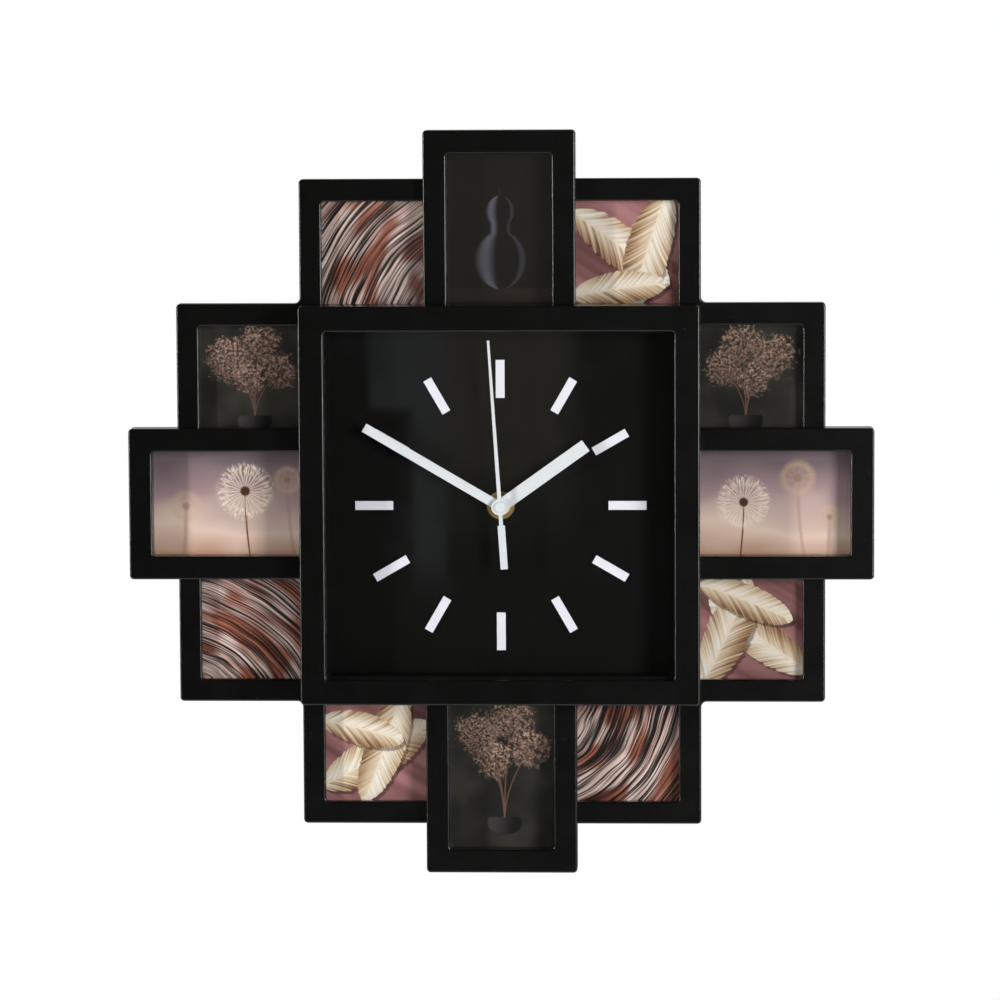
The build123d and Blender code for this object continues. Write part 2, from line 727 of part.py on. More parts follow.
def make_second_wheel():
    disc = wheel(SECOND_TEETH, second_module, 0, 0, gap_phase(STEP_BEARING + 180, SECOND_TEETH), level(4))
    leaf = pinion(SECOND_PINION_TEETH, third_module, 0, 0, THIRD_BEARING, level(3))
    return disc + leaf + rod(0, 0, SECOND_ARBOR_RADIUS, pivot_back, second_arbor_front() - RUNNING_GAP)


def make_step_wheel():
    disc = wheel(STEP_TEETH, step_module, step_x, step_z, gap_phase(ROTOR_BEARING + 180, STEP_TEETH), level(5))
    leaf = pinion(STEP_PINION_TEETH, second_module, step_x, step_z, STEP_BEARING + 180, level(4))
    return disc + leaf + arbor(step_x, step_z)


def make_rotor():
    leaf = pinion(ROTOR_PINION_TEETH, step_module, rotor_x, rotor_z, ROTOR_BEARING + 180, level(5))
    magnet = rod(rotor_x, rotor_z, MAGNET_RADIUS, level(2) - MAGNET_LENGTH / 2, level(2) + MAGNET_LENGTH / 2)
    return leaf + magnet + arbor(rotor_x, rotor_z)


stator_left = rotor_x - STATOR_OFFSET
stator_right = stator_left + STATOR_WIDTH
stator_bottom = rotor_z - STATOR_OFFSET
stator_top = stator_bottom + STATOR_HEIGHT
coil_x = stator_right - STATOR_LEG / 2
coil_z = (stator_bottom + STATOR_POLE + stator_top - STATOR_LEG) / 2


def make_stator():
    """Steel loop round the rotor's magnet, with the coil on its straight leg."""
    face = box_face(stator_left, stator_right, stator_bottom, stator_top)
    face = face - box_face(stator_left + STATOR_LEG, stator_right - STATOR_LEG,
                           stator_bottom + STATOR_POLE, stator_top - STATOR_LEG)
    face = face - Pos(rotor_x, rotor_z) * Circle(MAGNET_RADIUS + MAGNET_GAP)
    return slab(face, level(2) - STATOR_THICK / 2, level(2) + STATOR_THICK / 2)


def make_motor_coil():
    coil = Cylinder(COIL_RADIUS, COIL_LENGTH)
    for end in (-1, 1):
        coil = coil + Pos(0, 0, end * (COIL_LENGTH + COIL_FLANGE_THICK) / 2) * Cylinder(
            COIL_FLANGE_RADIUS, COIL_FLANGE_THICK)
    coil = Pos(coil_x, -level(2), coil_z) * coil
    gap = COIL_BORE_GAP
    return coil - block(stator_right - STATOR_LEG - gap, stator_right + gap, stator_bottom, stator_top,
                        level(2) - STATOR_THICK / 2 - gap, level(2) + STATOR_THICK / 2 + gap)


def stator_post_places():
    inset = STATOR_LEG / 2
    return [(stator_left + inset, stator_top - inset), (stator_right - inset, stator_bottom + inset)]


circuit_left = -half_cavity + CIRCUIT_MARGIN
circuit_top = half_cavity - CIRCUIT_MARGIN


def circuit_post_places():
    z = circuit_top - BOARD_HEIGHT / 2
    return [(circuit_left + CIRCUIT_POST_INSET, z), (circuit_left + BOARD_WIDTH - CIRCUIT_POST_INSET, z)]


def make_circuit_board():
    front = case_inner_front - CIRCUIT_POST_HEIGHT
    back = front - CIRCUIT_THICK
    board = block(circuit_left, circuit_left + BOARD_WIDTH, circuit_top - BOARD_HEIGHT, circuit_top, back, front)
    chip_x = circuit_left + CHIP_INSET
    chip_z = circuit_top - BOARD_HEIGHT / 2
    chip = rod(chip_x, chip_z, CHIP_RADIUS, back - CHIP_HEIGHT, back)
    chip = fillet(front_edges(chip, back - CHIP_HEIGHT, lambda x, z: True), CHIP_HEIGHT / 2)
    crystal = Rot(0, 90, 0) * Cylinder(CRYSTAL_RADIUS, CRYSTAL_LENGTH)
    crystal_x = chip_x + CHIP_RADIUS + CRYSTAL_LENGTH / 2 + CRYSTAL_SPACING
    crystal = Pos(crystal_x, -(back - CRYSTAL_RADIUS + CRYSTAL_SINK), chip_z) * crystal
    return board + chip + crystal


battery_z = -half_cavity + BATTERY_GAP + BATTERY_RADIUS
battery_level = case_inner_front - BATTERY_GAP - BATTERY_RADIUS
partition_bottom = battery_z + BATTERY_RADIUS + BATTERY_GAP
battery_half = (BATTERY_LENGTH + BATTERY_NUB_LENGTH) / 2


def make_battery():
    body = Rot(0, 90, 0) * Cylinder(BATTERY_RADIUS, BATTERY_LENGTH)
    body = chamfer(body.edges().filter_by(GeomType.CIRCLE), BATTERY_CHAMFER)
    nub = Rot(0, 90, 0) * Cylinder(BATTERY_NUB_RADIUS, BATTERY_NUB_LENGTH)
    body = Pos(-BATTERY_NUB_LENGTH / 2, 0, 0) * body
    nub = Pos(BATTERY_LENGTH / 2, 0, 0) * nub
    return Pos(0, -battery_level, battery_z) * (body + nub)


def make_battery_contacts():
    """Two bent plates: each has a face on the battery's end and two feet on the case wall."""
    solids = []
    half = CONTACT_WIDTH / 2
    for side in (-1, 1):
        near = battery_half
        far = half_cavity
        low, high = battery_level - half, battery_level + half
        plate = block(near, near + CONTACT_THICK, battery_z - half, battery_z + half, low, high)
        for z in (battery_z - half, battery_z + half - CONTACT_THICK):
            plate = plate + block(near, far, z, z + CONTACT_THICK, low, high)
        solids.append(plate if side > 0 else mirror(plate, about=Plane.YZ))
    return group(solids)


def case_face(half):
    return rounded_square(half, CASE_ROUND)


def make_case_front():
    case = slab(case_face(half_case), CASE_SPLIT, case_front_level)
    case = fillet(front_edges(case, case_front_level, lambda x, z: True), CASE_EDGE)
    case = case - slab(rounded_square(half_cavity, CASE_ROUND - CASE_WALL), CASE_SPLIT, case_inner_front)
    case = case + block(-half_cavity, half_cavity, partition_bottom, partition_bottom + PARTITION_WALL,
                        case_inner_back + ASSEMBLY_GAP, case_inner_front)
    case = case - rod(0, 0, BUSH_RADIUS + SCREW_GAP, case_inner_front, case_front_level)
    for x, z in ((third_x, third_z), (step_x, step_z), (rotor_x, rotor_z)):
        case = case - rod(x, z, ARBOR_RADIUS + RUNNING_GAP, case_inner_front, pivot_front + PIVOT_END_GAP)
    case = case - rod(motion_x, motion_z, SETTING_ARBOR_RADIUS + RUNNING_GAP, case_inner_front,
                      pivot_front + PIVOT_END_GAP)
    for x, z in stator_post_places():
        case = case + rod(x, z, POST_RADIUS, level(2) + STATOR_THICK / 2, case_inner_front)
    for x, z in circuit_post_places():
        case = case + rod(x, z, POST_RADIUS, case_inner_front - CIRCUIT_POST_HEIGHT, case_inner_front)
    return case


def make_case_back():
    """Lid of the movement, with the bearings behind the train and a hatch over the battery."""
    lid = slab(case_face(half_case), case_back_level, CASE_SPLIT)
    lid = fillet(front_edges(lid, case_back_level, lambda x, z: True), CASE_EDGE)
    lid = lid - slab(rounded_square(half_cavity, CASE_ROUND - CASE_WALL), case_inner_back, CASE_SPLIT)
    lid = lid - block(-battery_half, battery_half, -half_cavity, partition_bottom, case_back_level, case_inner_back)
    for x, z in ((third_x, third_z), (step_x, step_z), (rotor_x, rotor_z)):
        lid = lid - rod(x, z, ARBOR_RADIUS + RUNNING_GAP, pivot_back - PIVOT_END_GAP, case_inner_back)
    lid = lid - rod(0, 0, SECOND_ARBOR_RADIUS + RUNNING_GAP, pivot_back - PIVOT_END_GAP, case_inner_back)
    return lid - rod(motion_x, motion_z, SETTING_ARBOR_RADIUS + RUNNING_GAP, case_back_level, case_inner_back)


def make_bush():
    bush = rod(0, 0, BUSH_RADIUS, case_inner_front, bush_front_level)
    bush = chamfer(front_edges(bush, bush_front_level, lambda x, z: True), BUSH_CHAMFER)
    return bush - rod(0, 0, bush_bore, case_inner_front, bush_front_level)


def make_gasket():
    return ring(0, 0, BUSH_RADIUS + DIAL_HOLE_GAP, GASKET_RADIUS, case_front_level, dial_back_level)


def make_washer():
    return ring(0, 0, BUSH_RADIUS + SCREW_GAP, WASHER_RADIUS, DIAL_FRONT, DIAL_FRONT + WASHER_THICK)


def make_nut():
    back = DIAL_FRONT + WASHER_THICK
    face = RegularPolygon(NUT_FLATS / 2, 6, major_radius=False) - Circle(BUSH_RADIUS + SCREW_GAP)
    nut = slab(face, back, back + NUT_THICK)
    return nut


# Panes, prints and boards

def stack_faces(shrink):
    """Name and outline of each pane, print or board, in the order of the windows."""
    found = []
    for turn, side in enumerate(SIDES):
        found.append((side, turn, arm_seat_face(shrink)))
        for sign, name in zip((-1, 1), CORNER_NAMES[side]):
            found.append((name, turn, corner_seat_face(sign, shrink)))
    return found


def make_stack(back, front):
    return {name: clockwise(slab(face, back, front), 90 * turn) for name, turn, face in stack_faces(PANE_GAP)}


# Turn buttons

def button_places():
    places = []
    for turn in range(4):
        c = round(cos(turn * pi / 2))
        s = round(sin(turn * pi / 2))
        for x in (-partition_mid, partition_mid):
            places.append((x * c + corner_window_mid * s, -x * s + corner_window_mid * c))
    return places


def button_names():
    return [name for side in SIDES for name in CORNER_NAMES[side]]


def make_turn_button(x, z):
    """Two-ended latch across the wall between two windows; it turns on its screw."""
    face = SlotOverall(BUTTON_LENGTH, BUTTON_WIDTH, rotation=0 if abs(z) > abs(x) else 90)
    face = Pos(x, z) * (face - Circle(SCREW_RADIUS + RUNNING_GAP))
    front = FRAME_BACK - BUTTON_GAP
    return slab(face, front - BUTTON_THICK, front)


def make_button_screws():
    solids = []
    head_front = FRAME_BACK - BUTTON_GAP - BUTTON_THICK - ASSEMBLY_GAP
    for x, z in button_places():
        shank = rod(x, z, SCREW_RADIUS, head_front, FRAME_BACK + BUTTON_SCREW_BITE - AXIAL_GAP)
        solids.append(shank + rod(x, z, SCREW_HEAD_RADIUS, head_front - SCREW_HEAD_HEIGHT, head_front))
    return group(solids)


def make_bezel_screws():
    solids = []
    for x, z in bezel_screw_places():
        shank = rod(x, z, SCREW_RADIUS, FRAME_BACK, PANE_FRONT + BEZEL_SCREW_BITE - AXIAL_GAP)
        solids.append(shank + rod(x, z, SCREW_HEAD_RADIUS, FRAME_BACK - SCREW_HEAD_HEIGHT, FRAME_BACK))
    return group(solids)


def raised(piece):
    """A piece of the frame in its place: the middle of the frame lies above the axis of the hands."""
    return Pos(0, 0, AXIS_DROP) * piece


def main():
    os.makedirs("parts", exist_ok=True)
    save(raised(make_base_frame()), "base_frame")
    arm = make_arm_frame()
    for turn, side in enumerate(SIDES):
        save(raised(clockwise(arm, 90 * turn)), f"photo_frame_{side}")
    save(raised(make_bezel()), "clock_bezel")
    save(raised(make_lens()), "clock_lens")
    save(raised(make_dial_surround()), "dial_surround")
    save(make_dial(), "dial_plate")
    save(make_markers(), "hour_markers")
    save(make_hour_hand(), "hour_hand")
    save(make_minute_hand(), "minute_hand")
    save(make_second_hand(), "second_hand")
    save(make_case_front(), "movement_case_front")
    save(make_case_back(), "movement_case_back")
    save(make_bush(), "threaded_bush")
    save(make_nut(), "fixing_nut")
    save(make_washer(), "brass_washer")
    save(make_gasket(), "rubber_gasket")
    save(make_battery(), "battery")
    save(make_battery_contacts(), "battery_contacts")
    save(make_circuit_board(), "circuit_board")
    save(make_motor_coil(), "motor_coil")
    save(make_stator(), "stator")
    save(make_rotor(), "rotor")
    save(make_step_wheel(), "intermediate_wheel")
    save(make_second_wheel(), "seconds_wheel")
    save(make_third_wheel(), "third_wheel")
    save(make_centre_wheel(), "centre_wheel")
    save(make_minute_tube(), "minute_tube")
    save(make_motion_wheel(), "motion_wheel")
    save(make_hour_wheel(), "hour_wheel")
    save(make_set_knob(), "set_knob")
    save(raised(make_hanger_plate()), "hanger_plate")
    save(raised(make_hanger_screws()), "hanger_screws")
    save(raised(group(make_stack(pane_back_level, PANE_FRONT).values())), "picture_panes")
    save(raised(group(make_stack(board_back_level, print_back_level).values())), "backing_boards")
    for name, sheet in make_stack(print_back_level, print_front_level).items():
        save(raised(sheet), f"print_{name}")
    for name, (x, z) in zip(button_names(), button_places()):
        save(raised(make_turn_button(x, z)), f"turn_button_{name}")
    save(raised(make_button_screws()), "button_screws")
    save(raised(make_bezel_screws()), "bezel_screws")


main()
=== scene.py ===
import json
from math import cos, pi, radians, sin

import bmesh
import bpy
from mathutils import Matrix, Vector
from mathutils.geometry import tessellate_polygon


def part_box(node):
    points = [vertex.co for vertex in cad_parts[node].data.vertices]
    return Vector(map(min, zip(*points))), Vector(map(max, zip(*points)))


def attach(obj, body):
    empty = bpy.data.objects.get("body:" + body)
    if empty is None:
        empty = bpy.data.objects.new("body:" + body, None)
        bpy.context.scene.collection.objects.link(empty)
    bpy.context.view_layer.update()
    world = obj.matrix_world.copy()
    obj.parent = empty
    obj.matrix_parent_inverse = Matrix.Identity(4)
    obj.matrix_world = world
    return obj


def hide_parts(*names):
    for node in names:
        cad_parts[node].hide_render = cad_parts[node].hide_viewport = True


# Looks of the photo frame clock. Metres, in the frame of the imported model: X right, Z up, front to -Y.

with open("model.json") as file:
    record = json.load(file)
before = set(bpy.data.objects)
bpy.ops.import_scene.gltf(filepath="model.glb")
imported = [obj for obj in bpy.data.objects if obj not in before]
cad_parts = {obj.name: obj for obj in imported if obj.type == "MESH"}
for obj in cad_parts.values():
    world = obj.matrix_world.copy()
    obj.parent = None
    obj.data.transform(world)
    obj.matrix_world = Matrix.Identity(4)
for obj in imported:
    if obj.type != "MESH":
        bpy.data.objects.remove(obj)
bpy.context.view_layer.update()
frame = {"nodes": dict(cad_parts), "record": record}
nodes = frame["nodes"]

WHITE = (1.0, 1.0, 1.0, 1.0)
MILLIMETRES = 1000.0

# Camera: place, turn and tilt in radians, and focal length in pixels of a 1000 pixel wide picture
CAMERA_PLACE = Vector((0.120878, -2.619063, 0.256767))
CAMERA_YAW = 0.046722
CAMERA_PITCH = 0.097458
CAMERA_ROLL = -0.004928
FOCAL_PIXELS = 4858.0
PICTURE_PIXELS = 1000
SENSOR = 36.0
NEAREST_SEEN = 0.05

# Lamps: bearings and rise in degrees, from straight before the clock to the right, and the share of white
# that each lamp gives
LAMP_DISTANCE = 2.5
LAMP_HEIGHT = 1.2
LAMP_RISE = 5.0
RIGHT_LAMP_BEARING = 44.0
RIGHT_LAMP_WIDTH = 0.76
RIGHT_SHARE = 0.65
LEFT_LAMP_BEARING = -62.0
LEFT_LAMP_WIDTH = 0.18
LEFT_SHARE = 0.34
BACK_LAMP_BEARING = 152.0
BACK_LAMP_WIDTH = 1.2
BACK_SHARE = 0.75

# World: strengths of the even light, and of what is mirrored from before and from behind the clock
AMBIENT = 0.10
DARK_SIDE = 0.006
GLOW = 0.16
WARM_SHARE = 0.85
SIDE_GLOW = 0.5
MIRRORED_WHITE = 0.6
COOL_TINT = (0.86, 0.94, 1.0, 1.0)
WARM_TINT = (1.0, 0.88, 0.68, 1.0)
BEHIND_TINT = (1.0, 0.96, 0.9, 1.0)

# Where parts of the world fade in: depths of a direction, and for the panels before the clock how far a
# direction goes sideways or up for each unit of depth
BEHIND = (-0.2, 0.25)
BEFORE = (-0.8, -0.9)
LEAST_DEPTH = 0.01
WIDE_SIDE = (-0.0745, -0.0725)
WIDE_FOOT = (-0.0802, -0.0776)
NARROW_SIDE = (-0.0657, -0.0640)
NARROW_FOOT = (-0.122, -0.104)
COOL_END = (-0.0574, -0.0586)
WARM_START = (-0.0586, -0.0574)
WARM_END = (-0.028, -0.035)
WARM_FOOT = (-0.112, -0.082)
SIDE_START = (0.055, 0.12)
SIDE_END = (0.45, 0.3)
SIDE_FOOT = (-0.3, -0.1)

# Floor: its drop below the hand axis, half its side, and its strengths to the camera and in mirrors
FLOOR_DROP = 0.75
FLOOR_HALF = 1.9
FLOOR_COLOUR = (0.84, 0.84, 0.83)
FLOOR_GLOW = 0.62
FLOOR_MIRRORED = 0.3
FLOOR_FADE = (0.4, 0.97)

# Clear sheets: share that they mirror straight on, and what grazing views add
STRAIGHT_MIRROR = 0.036
GRAZING_MIRROR = 0.96

# Battery, in metres: its pale band, its bare ends and how soft their edges are
BAND_LENGTH = 0.0150
END_LENGTH = 0.0016
BAND_EDGE = 0.0002

WIRE_PITCH = 0.00018

# Pictures, in millimetres
FEATHER_SHADOW = (1.4, -1.7)
BOWL_HALF_WIDTH = 9.5
BOWL_HALF_HEIGHT = 7.0
BOWL_RIM = 3.0
TABLE_TOP = -31.0
LOW_BULB_LEVEL = -17.0
LOW_BULB_RADIUS = 15.5
HIGH_BULB_LEVEL = 9.0
HIGH_BULB_RADIUS = 8.5
NECK_HALF_WIDTH = 6.0
STALK_LEVEL = 16.0

# Detail pieces, in millimetres: mouldings stand sunk in their surface, and a hair keeps loops apart
SUNK = 0.05
HAIR = 0.05
SIGN_PLACE = (20.0, -9.0)
SIGN_HEIGHT = 0.3
SIGN_HALF_LENGTH = 1.6
SIGN_HALF_WIDTH = 0.35
SCREW_REACH = 6
SHANK_RADIUS = 0.98
SCREW_PITCH = 0.8
THREAD_STEPS = 6
RECESS_MOUTH = (0.78, 0.24)
RECESS_FOOT = (0.42, 0.17)
RECESS_DEPTH = 0.75
PAN_HEAD = ((1.0, 0.0), (2.2, 0.0), (2.2, 0.3), (2.14, 0.6),
            (1.98, 0.84), (1.72, 1.02), (1.42, 1.14), (1.2, 1.18))
PAN_GAP = 0.02
FLAT_HEAD = ((1.0, 0.05), (2.14, 1.42), (2.18, 1.47), (2.1, 1.5), (1.5, 1.5))
BUSH_RADIUS = 3.95
BUSH_BORE = 2.56
BUSH_PITCH = 0.7
BUSH_FLANGE = 1.1
NUT_HALF_WIDTH = 5.0
NUT_BORE = 4.03
KNOB_ARROW = (3.7, 4.6)
CASE_ARROW = (8.3, 9.3)
RIB_COUNT = 12
RIB_ENDS = (-24.0, -7.0)
RIB_FOOT = -3.0
RIB_STEP = 2.2
RIB_WIDTH = 0.7
RIB_HEIGHT = 0.35
BORDER_INSET = 1.6
BORDER_WIDTH = 0.8
BORDER_FOOT = -7.0
TAB_PLACE = 15.0
TAB_HALF_WIDTH = 3.5
TAB_REACH = 1.1
TAB_PAST = 2.0
TAB_DROP = 1.2

# Coil windings, in metres
COIL_TURNS = 50
COIL_STEPS = 20
COIL_RADIUS = 0.0031
COIL_END_GAP = 0.00085
WIRE_RADIUS = 0.00011


# Shader helpers

def colour(code):
    """Linear colour of a hexadecimal screen colour."""
    parts = [int(code[k:k + 2], 16) / 255 for k in (1, 3, 5)]
    return tuple(p / 12.92 if p <= 0.04045 else ((p + 0.055) / 1.055) ** 2.4 for p in parts) + (1.0,)


class Number:
    """A number that varies over a surface. Arithmetic on it adds math nodes to its material."""

    def __init__(self, tree, socket):
        self.tree = tree
        self.socket = socket

    def math(self, operation, *others):
        node = self.tree.nodes.new("ShaderNodeMath")
        node.operation = operation
        for entry, value in zip(node.inputs, (self, *others)):
            feed(self.tree, entry, value)
        return Number(self.tree, node.outputs[0])

    def __add__(self, other):
        return self.math("ADD", other)

    def __sub__(self, other):
        return self.math("SUBTRACT", other)

    def __mul__(self, other):
        return self.math("MULTIPLY", other)

    def __truediv__(self, other):
        return self.math("DIVIDE", other)

    def __neg__(self):
        return self.math("MULTIPLY", -1.0)

    def __abs__(self):
        return self.math("ABSOLUTE")

    def power(self, other):
        return self.math("POWER", other)

    def sine(self):
        return self.math("SINE")

    def root(self):
        return self.math("SQRT")

    def least(self, other):
        return self.math("MINIMUM", other)

    def most(self, other):
        return self.math("MAXIMUM", other)

    def bearing(self, other):
        return self.math("ARCTAN2", other)

    def rise(self, low, high):
        """0 below low, 1 above high, and smooth between them; falls instead where low is above high."""
        node = self.tree.nodes.new("ShaderNodeMapRange")
        node.interpolation_type = "SMOOTHSTEP"
        feed(self.tree, node.inputs["Value"], self)
        feed(self.tree, node.inputs["From Min"], low)
        feed(self.tree, node.inputs["From Max"], high)
        return Number(self.tree, node.outputs[0])


def feed(tree, entry, value):
    """Links a number or a socket to an input, or sets the input to a plain value."""
    if isinstance(value, Number):
        tree.links.new(value.socket, entry)
    elif isinstance(value, bpy.types.NodeSocket):
        tree.links.new(value, entry)
    else:
        entry.default_value = value


def surface_place(tree):
    """The point on the surface in metres, and its three parts."""
    place = tree.nodes.new("ShaderNodeTexCoord").outputs["Object"]
    split = tree.nodes.new("ShaderNodeSeparateXYZ")
    tree.links.new(place, split.inputs[0])
    return place, [Number(tree, out) for out in split.outputs]


def point(tree, x, y, z):
    """A place to read a texture at, from three numbers."""
    node = tree.nodes.new("ShaderNodeCombineXYZ")
    for entry, value in zip(node.inputs, (x, y, z)):
        feed(tree, entry, value)
    return node.outputs[0]


def noise(tree, place, scale, detail=2.0, roughness=0.5, distortion=0.0):
    node = tree.nodes.new("ShaderNodeTexNoise")
    feed(tree, node.inputs["Vector"], place)
    node.inputs["Scale"].default_value = scale
    node.inputs["Detail"].default_value = detail
    node.inputs["Roughness"].default_value = roughness
    node.inputs["Distortion"].default_value = distortion
    return Number(tree, node.outputs["Fac"])


def specks(tree, place, scale, size):
    """1 in small round spots scattered at a scale, and 0 elsewhere."""
    node = tree.nodes.new("ShaderNodeTexVoronoi")
    feed(tree, node.inputs["Vector"], place)
    node.inputs["Scale"].default_value = scale
    return Number(tree, node.outputs["Distance"]).rise(size, size * 0.5)


def ramp(tree, value, stops):
    node = tree.nodes.new("ShaderNodeValToRGB")
    bar = node.color_ramp
    while len(bar.elements) < len(stops):
        bar.elements.new(0.5)
    for element, (place, shade) in zip(bar.elements, stops):
        element.position = place
        element.color = shade
    feed(tree, node.inputs[0], value)
    return node.outputs[0]


def mix(tree, share, first, second):
    node = tree.nodes.new("ShaderNodeMix")
    node.data_type = "RGBA"
    feed(tree, node.inputs["Factor"], share)
    feed(tree, node.inputs["A"], first)
    feed(tree, node.inputs["B"], second)
    return node.outputs["Result"]


def shaded(tree, base, value):
    """A colour multiplied by a number."""
    node = tree.nodes.new("ShaderNodeVectorMath")
    node.operation = "SCALE"
    feed(tree, node.inputs[0], base)
    feed(tree, node.inputs["Scale"], value)
    return node.outputs[0]


def bump(tree, height, depth):
    """Normal of a surface with a height pattern of the given depth in metres."""
    node = tree.nodes.new("ShaderNodeBump")
    node.inputs["Strength"].default_value = 1.0
    node.inputs["Distance"].default_value = depth
    feed(tree, node.inputs["Height"], height)
    return node.outputs[0]


def rays(tree, first, *others):
    """1 for a ray of any of the kinds, and 0 for others."""
    path = tree.nodes.new("ShaderNodeLightPath").outputs
    share = Number(tree, path[first])
    for kind in others:
        share = share.most(Number(tree, path[kind]))
    return share


def new_material(name):
    material = bpy.data.materials.new(name)
    material.use_nodes = True
    tree = material.node_tree
    return material, tree, tree.nodes["Principled BSDF"]


# Finishes

def black_plastic(name, base, roughness, grain, grain_depth, dust, mirror=0.45):
    """Moulded black plastic: a fine grain, patches of unlike gloss and a little dust."""
    material, tree, shader = new_material(name)
    place, _ = surface_place(tree)
    patches = noise(tree, place, 22, 3)
    dark, light = (tuple(share * c for c in base) + (1.0,) for share in (0.8, 1.25))
    tint = mix(tree, patches, dark, light)
    dusty = specks(tree, place, 190, 0.045) * noise(tree, place, 35, 1).rise(0.5, 0.62) * dust
    feed(tree, shader.inputs["Base Color"], mix(tree, dusty, tint, colour("#77767a")))
    feed(tree, shader.inputs["Roughness"], noise(tree, place, 60, 4) * 0.12 + (roughness - 0.06))
    feed(tree, shader.inputs["Normal"], bump(tree, noise(tree, place, grain, 2), grain_depth))
    shader.inputs["Specular IOR Level"].default_value = mirror
    return material


def clear_sheet():
    """Clear thin sheet: it shows what is behind it and mirrors a little, with faint smears."""
    material, tree, shader = new_material("clear_pane_sheet")
    tree.nodes.remove(shader)
    place, _ = surface_place(tree)
    through = tree.nodes.new("ShaderNodeBsdfTransparent")
    through.inputs["Color"].default_value = (0.992, 0.996, 0.996, 1.0)
    gloss = tree.nodes.new("ShaderNodeBsdfGlossy")
    gloss.inputs["Color"].default_value = WHITE
    feed(tree, gloss.inputs["Roughness"], noise(tree, place, 45, 3).rise(0.45, 0.8) * 0.06 + 0.015)
    weight = tree.nodes.new("ShaderNodeLayerWeight")
    share = Number(tree, weight.outputs["Facing"]).power(5.0) * GRAZING_MIRROR + STRAIGHT_MIRROR
    both = tree.nodes.new("ShaderNodeMixShader")
    feed(tree, both.inputs[0], share * rays(tree, "Is Camera Ray", "Is Glossy Ray"))
    tree.links.new(through.outputs[0], both.inputs[1])
    tree.links.new(gloss.outputs[0], both.inputs[2])
    tree.links.new(both.outputs[0], tree.nodes["Material Output"].inputs["Surface"])
    return material


def satin_paint(name, base, roughness):
    """Satin white paint on thin metal, with a faint roller grain."""
    material, tree, shader = new_material(name)
    place, _ = surface_place(tree)
    cloud = noise(tree, place, 90, 3)
    feed(tree, shader.inputs["Base Color"], shaded(tree, base, cloud * 0.08 + 0.96))
    feed(tree, shader.inputs["Roughness"], noise(tree, place, 400, 2) * 0.16 + (roughness - 0.08))
    feed(tree, shader.inputs["Normal"], bump(tree, noise(tree, place, 3200, 2), 0.00002))
    return material


def turned_metal(name, roughness):
    """Brass turned about the hand axis; its colour by radius is brass with painted highlights: pale in the
    middle, brown beside it and bright at the rim.
    """
    material, tree, shader = new_material(name)
    place, (x, _, z) = surface_place(tree)
    radius = (x * x + z * z).root()
    rings = noise(tree, point(tree, radius * 6000, 0.0, 0.0), 1, 2)
    stains = noise(tree, place, 260, 3)
    # Painted highlights by radius: the pale middle and the bright rims stand for light mirrored by the nut's
    # faces and the washer's edges.
    painted_highlight_rings = ramp(tree, radius * 100, [
        (0.47, colour("#f7f0c8")), (0.54, colour("#c9b878")), (0.59, colour("#6e5c34")),
        (0.65, colour("#c8b47a")), (0.69, colour("#8f7b48")), (0.75, colour("#a9945c"))])
    feed(tree, shader.inputs["Base Color"], mix(tree, rings * stains * 0.9, painted_highlight_rings, colour("#8a6a35")))
    feed(tree, shader.inputs["Roughness"], rings * 0.2 + (roughness - 0.1))
    feed(tree, shader.inputs["Normal"], bump(tree, rings, 0.00003))
    shader.inputs["Metallic"].default_value = 0.6
    return material


def plated_metal(name, base, dark, roughness):
    """Plated sheet steel with a drawn grain along X and small stains."""
    material, tree, shader = new_material(name)
    place, (x, y, z) = surface_place(tree)
    grain = noise(tree, point(tree, x * 60, y * 2600, z * 2600), 1, 3)
    stains = noise(tree, place, 120, 4)
    feed(tree, shader.inputs["Base Color"], mix(tree, stains.rise(0.4, 0.75), base, dark))
    feed(tree, shader.inputs["Roughness"], grain * 0.25 + (roughness - 0.12))
    feed(tree, shader.inputs["Normal"], bump(tree, grain, 0.00003))
    shader.inputs["Metallic"].default_value = 1.0
    return material


def coated_steel(name, base, roughness):
    """Dark coated steel with the coat rubbed through in small spots."""
    material, tree, shader = new_material(name)
    place, _ = surface_place(tree)
    wear = noise(tree, place, 330, 4).rise(0.62, 0.8)
    feed(tree, shader.inputs["Base Color"], mix(tree, wear, base, colour("#5c5c5a")))
    feed(tree, shader.inputs["Roughness"], noise(tree, place, 500, 2) * 0.2 + (roughness - 0.1))
    feed(tree, shader.inputs["Normal"], bump(tree, noise(tree, place, 1800, 2), 0.00004))
    shader.inputs["Metallic"].default_value = 0.3
    return material


def moulded(name, base, roughness, grain_depth):
    """Natural moulded plastic or rubber with flow marks."""
    material, tree, shader = new_material(name)
    place, _ = surface_place(tree)
    flow = noise(tree, place, 150, 3, distortion=1.5)
    feed(tree, shader.inputs["Base Color"], shaded(tree, base, flow * 0.3 + 0.85))
    feed(tree, shader.inputs["Roughness"], flow * 0.2 + (roughness - 0.1))
    feed(tree, shader.inputs["Normal"], bump(tree, noise(tree, place, 2600, 2), grain_depth))
    return material


def wound_wire():
    """Enamelled wire wound round an upright core: fine level rings, with painted shade in the grooves between
    turns.
    """
    material, tree, shader = new_material("coil_wire_wound")
    place, (_, _, z) = surface_place(tree)
    turns = (z * (2 * pi / WIRE_PITCH)).sine() * 0.5 + 0.5
    # Painted shade and highlight: each wire turn is dark in the grooves between turns and light on its crown.
    feed(tree, shader.inputs["Base Color"], mix(tree, turns, colour("#5a2410"), colour("#c8692f")))
    feed(tree, shader.inputs["Roughness"], noise(tree, place, 300, 2) * 0.2 + 0.2)
    feed(tree, shader.inputs["Normal"], bump(tree, turns, 0.00006))
    shader.inputs["Metallic"].default_value = 0.6
    return material


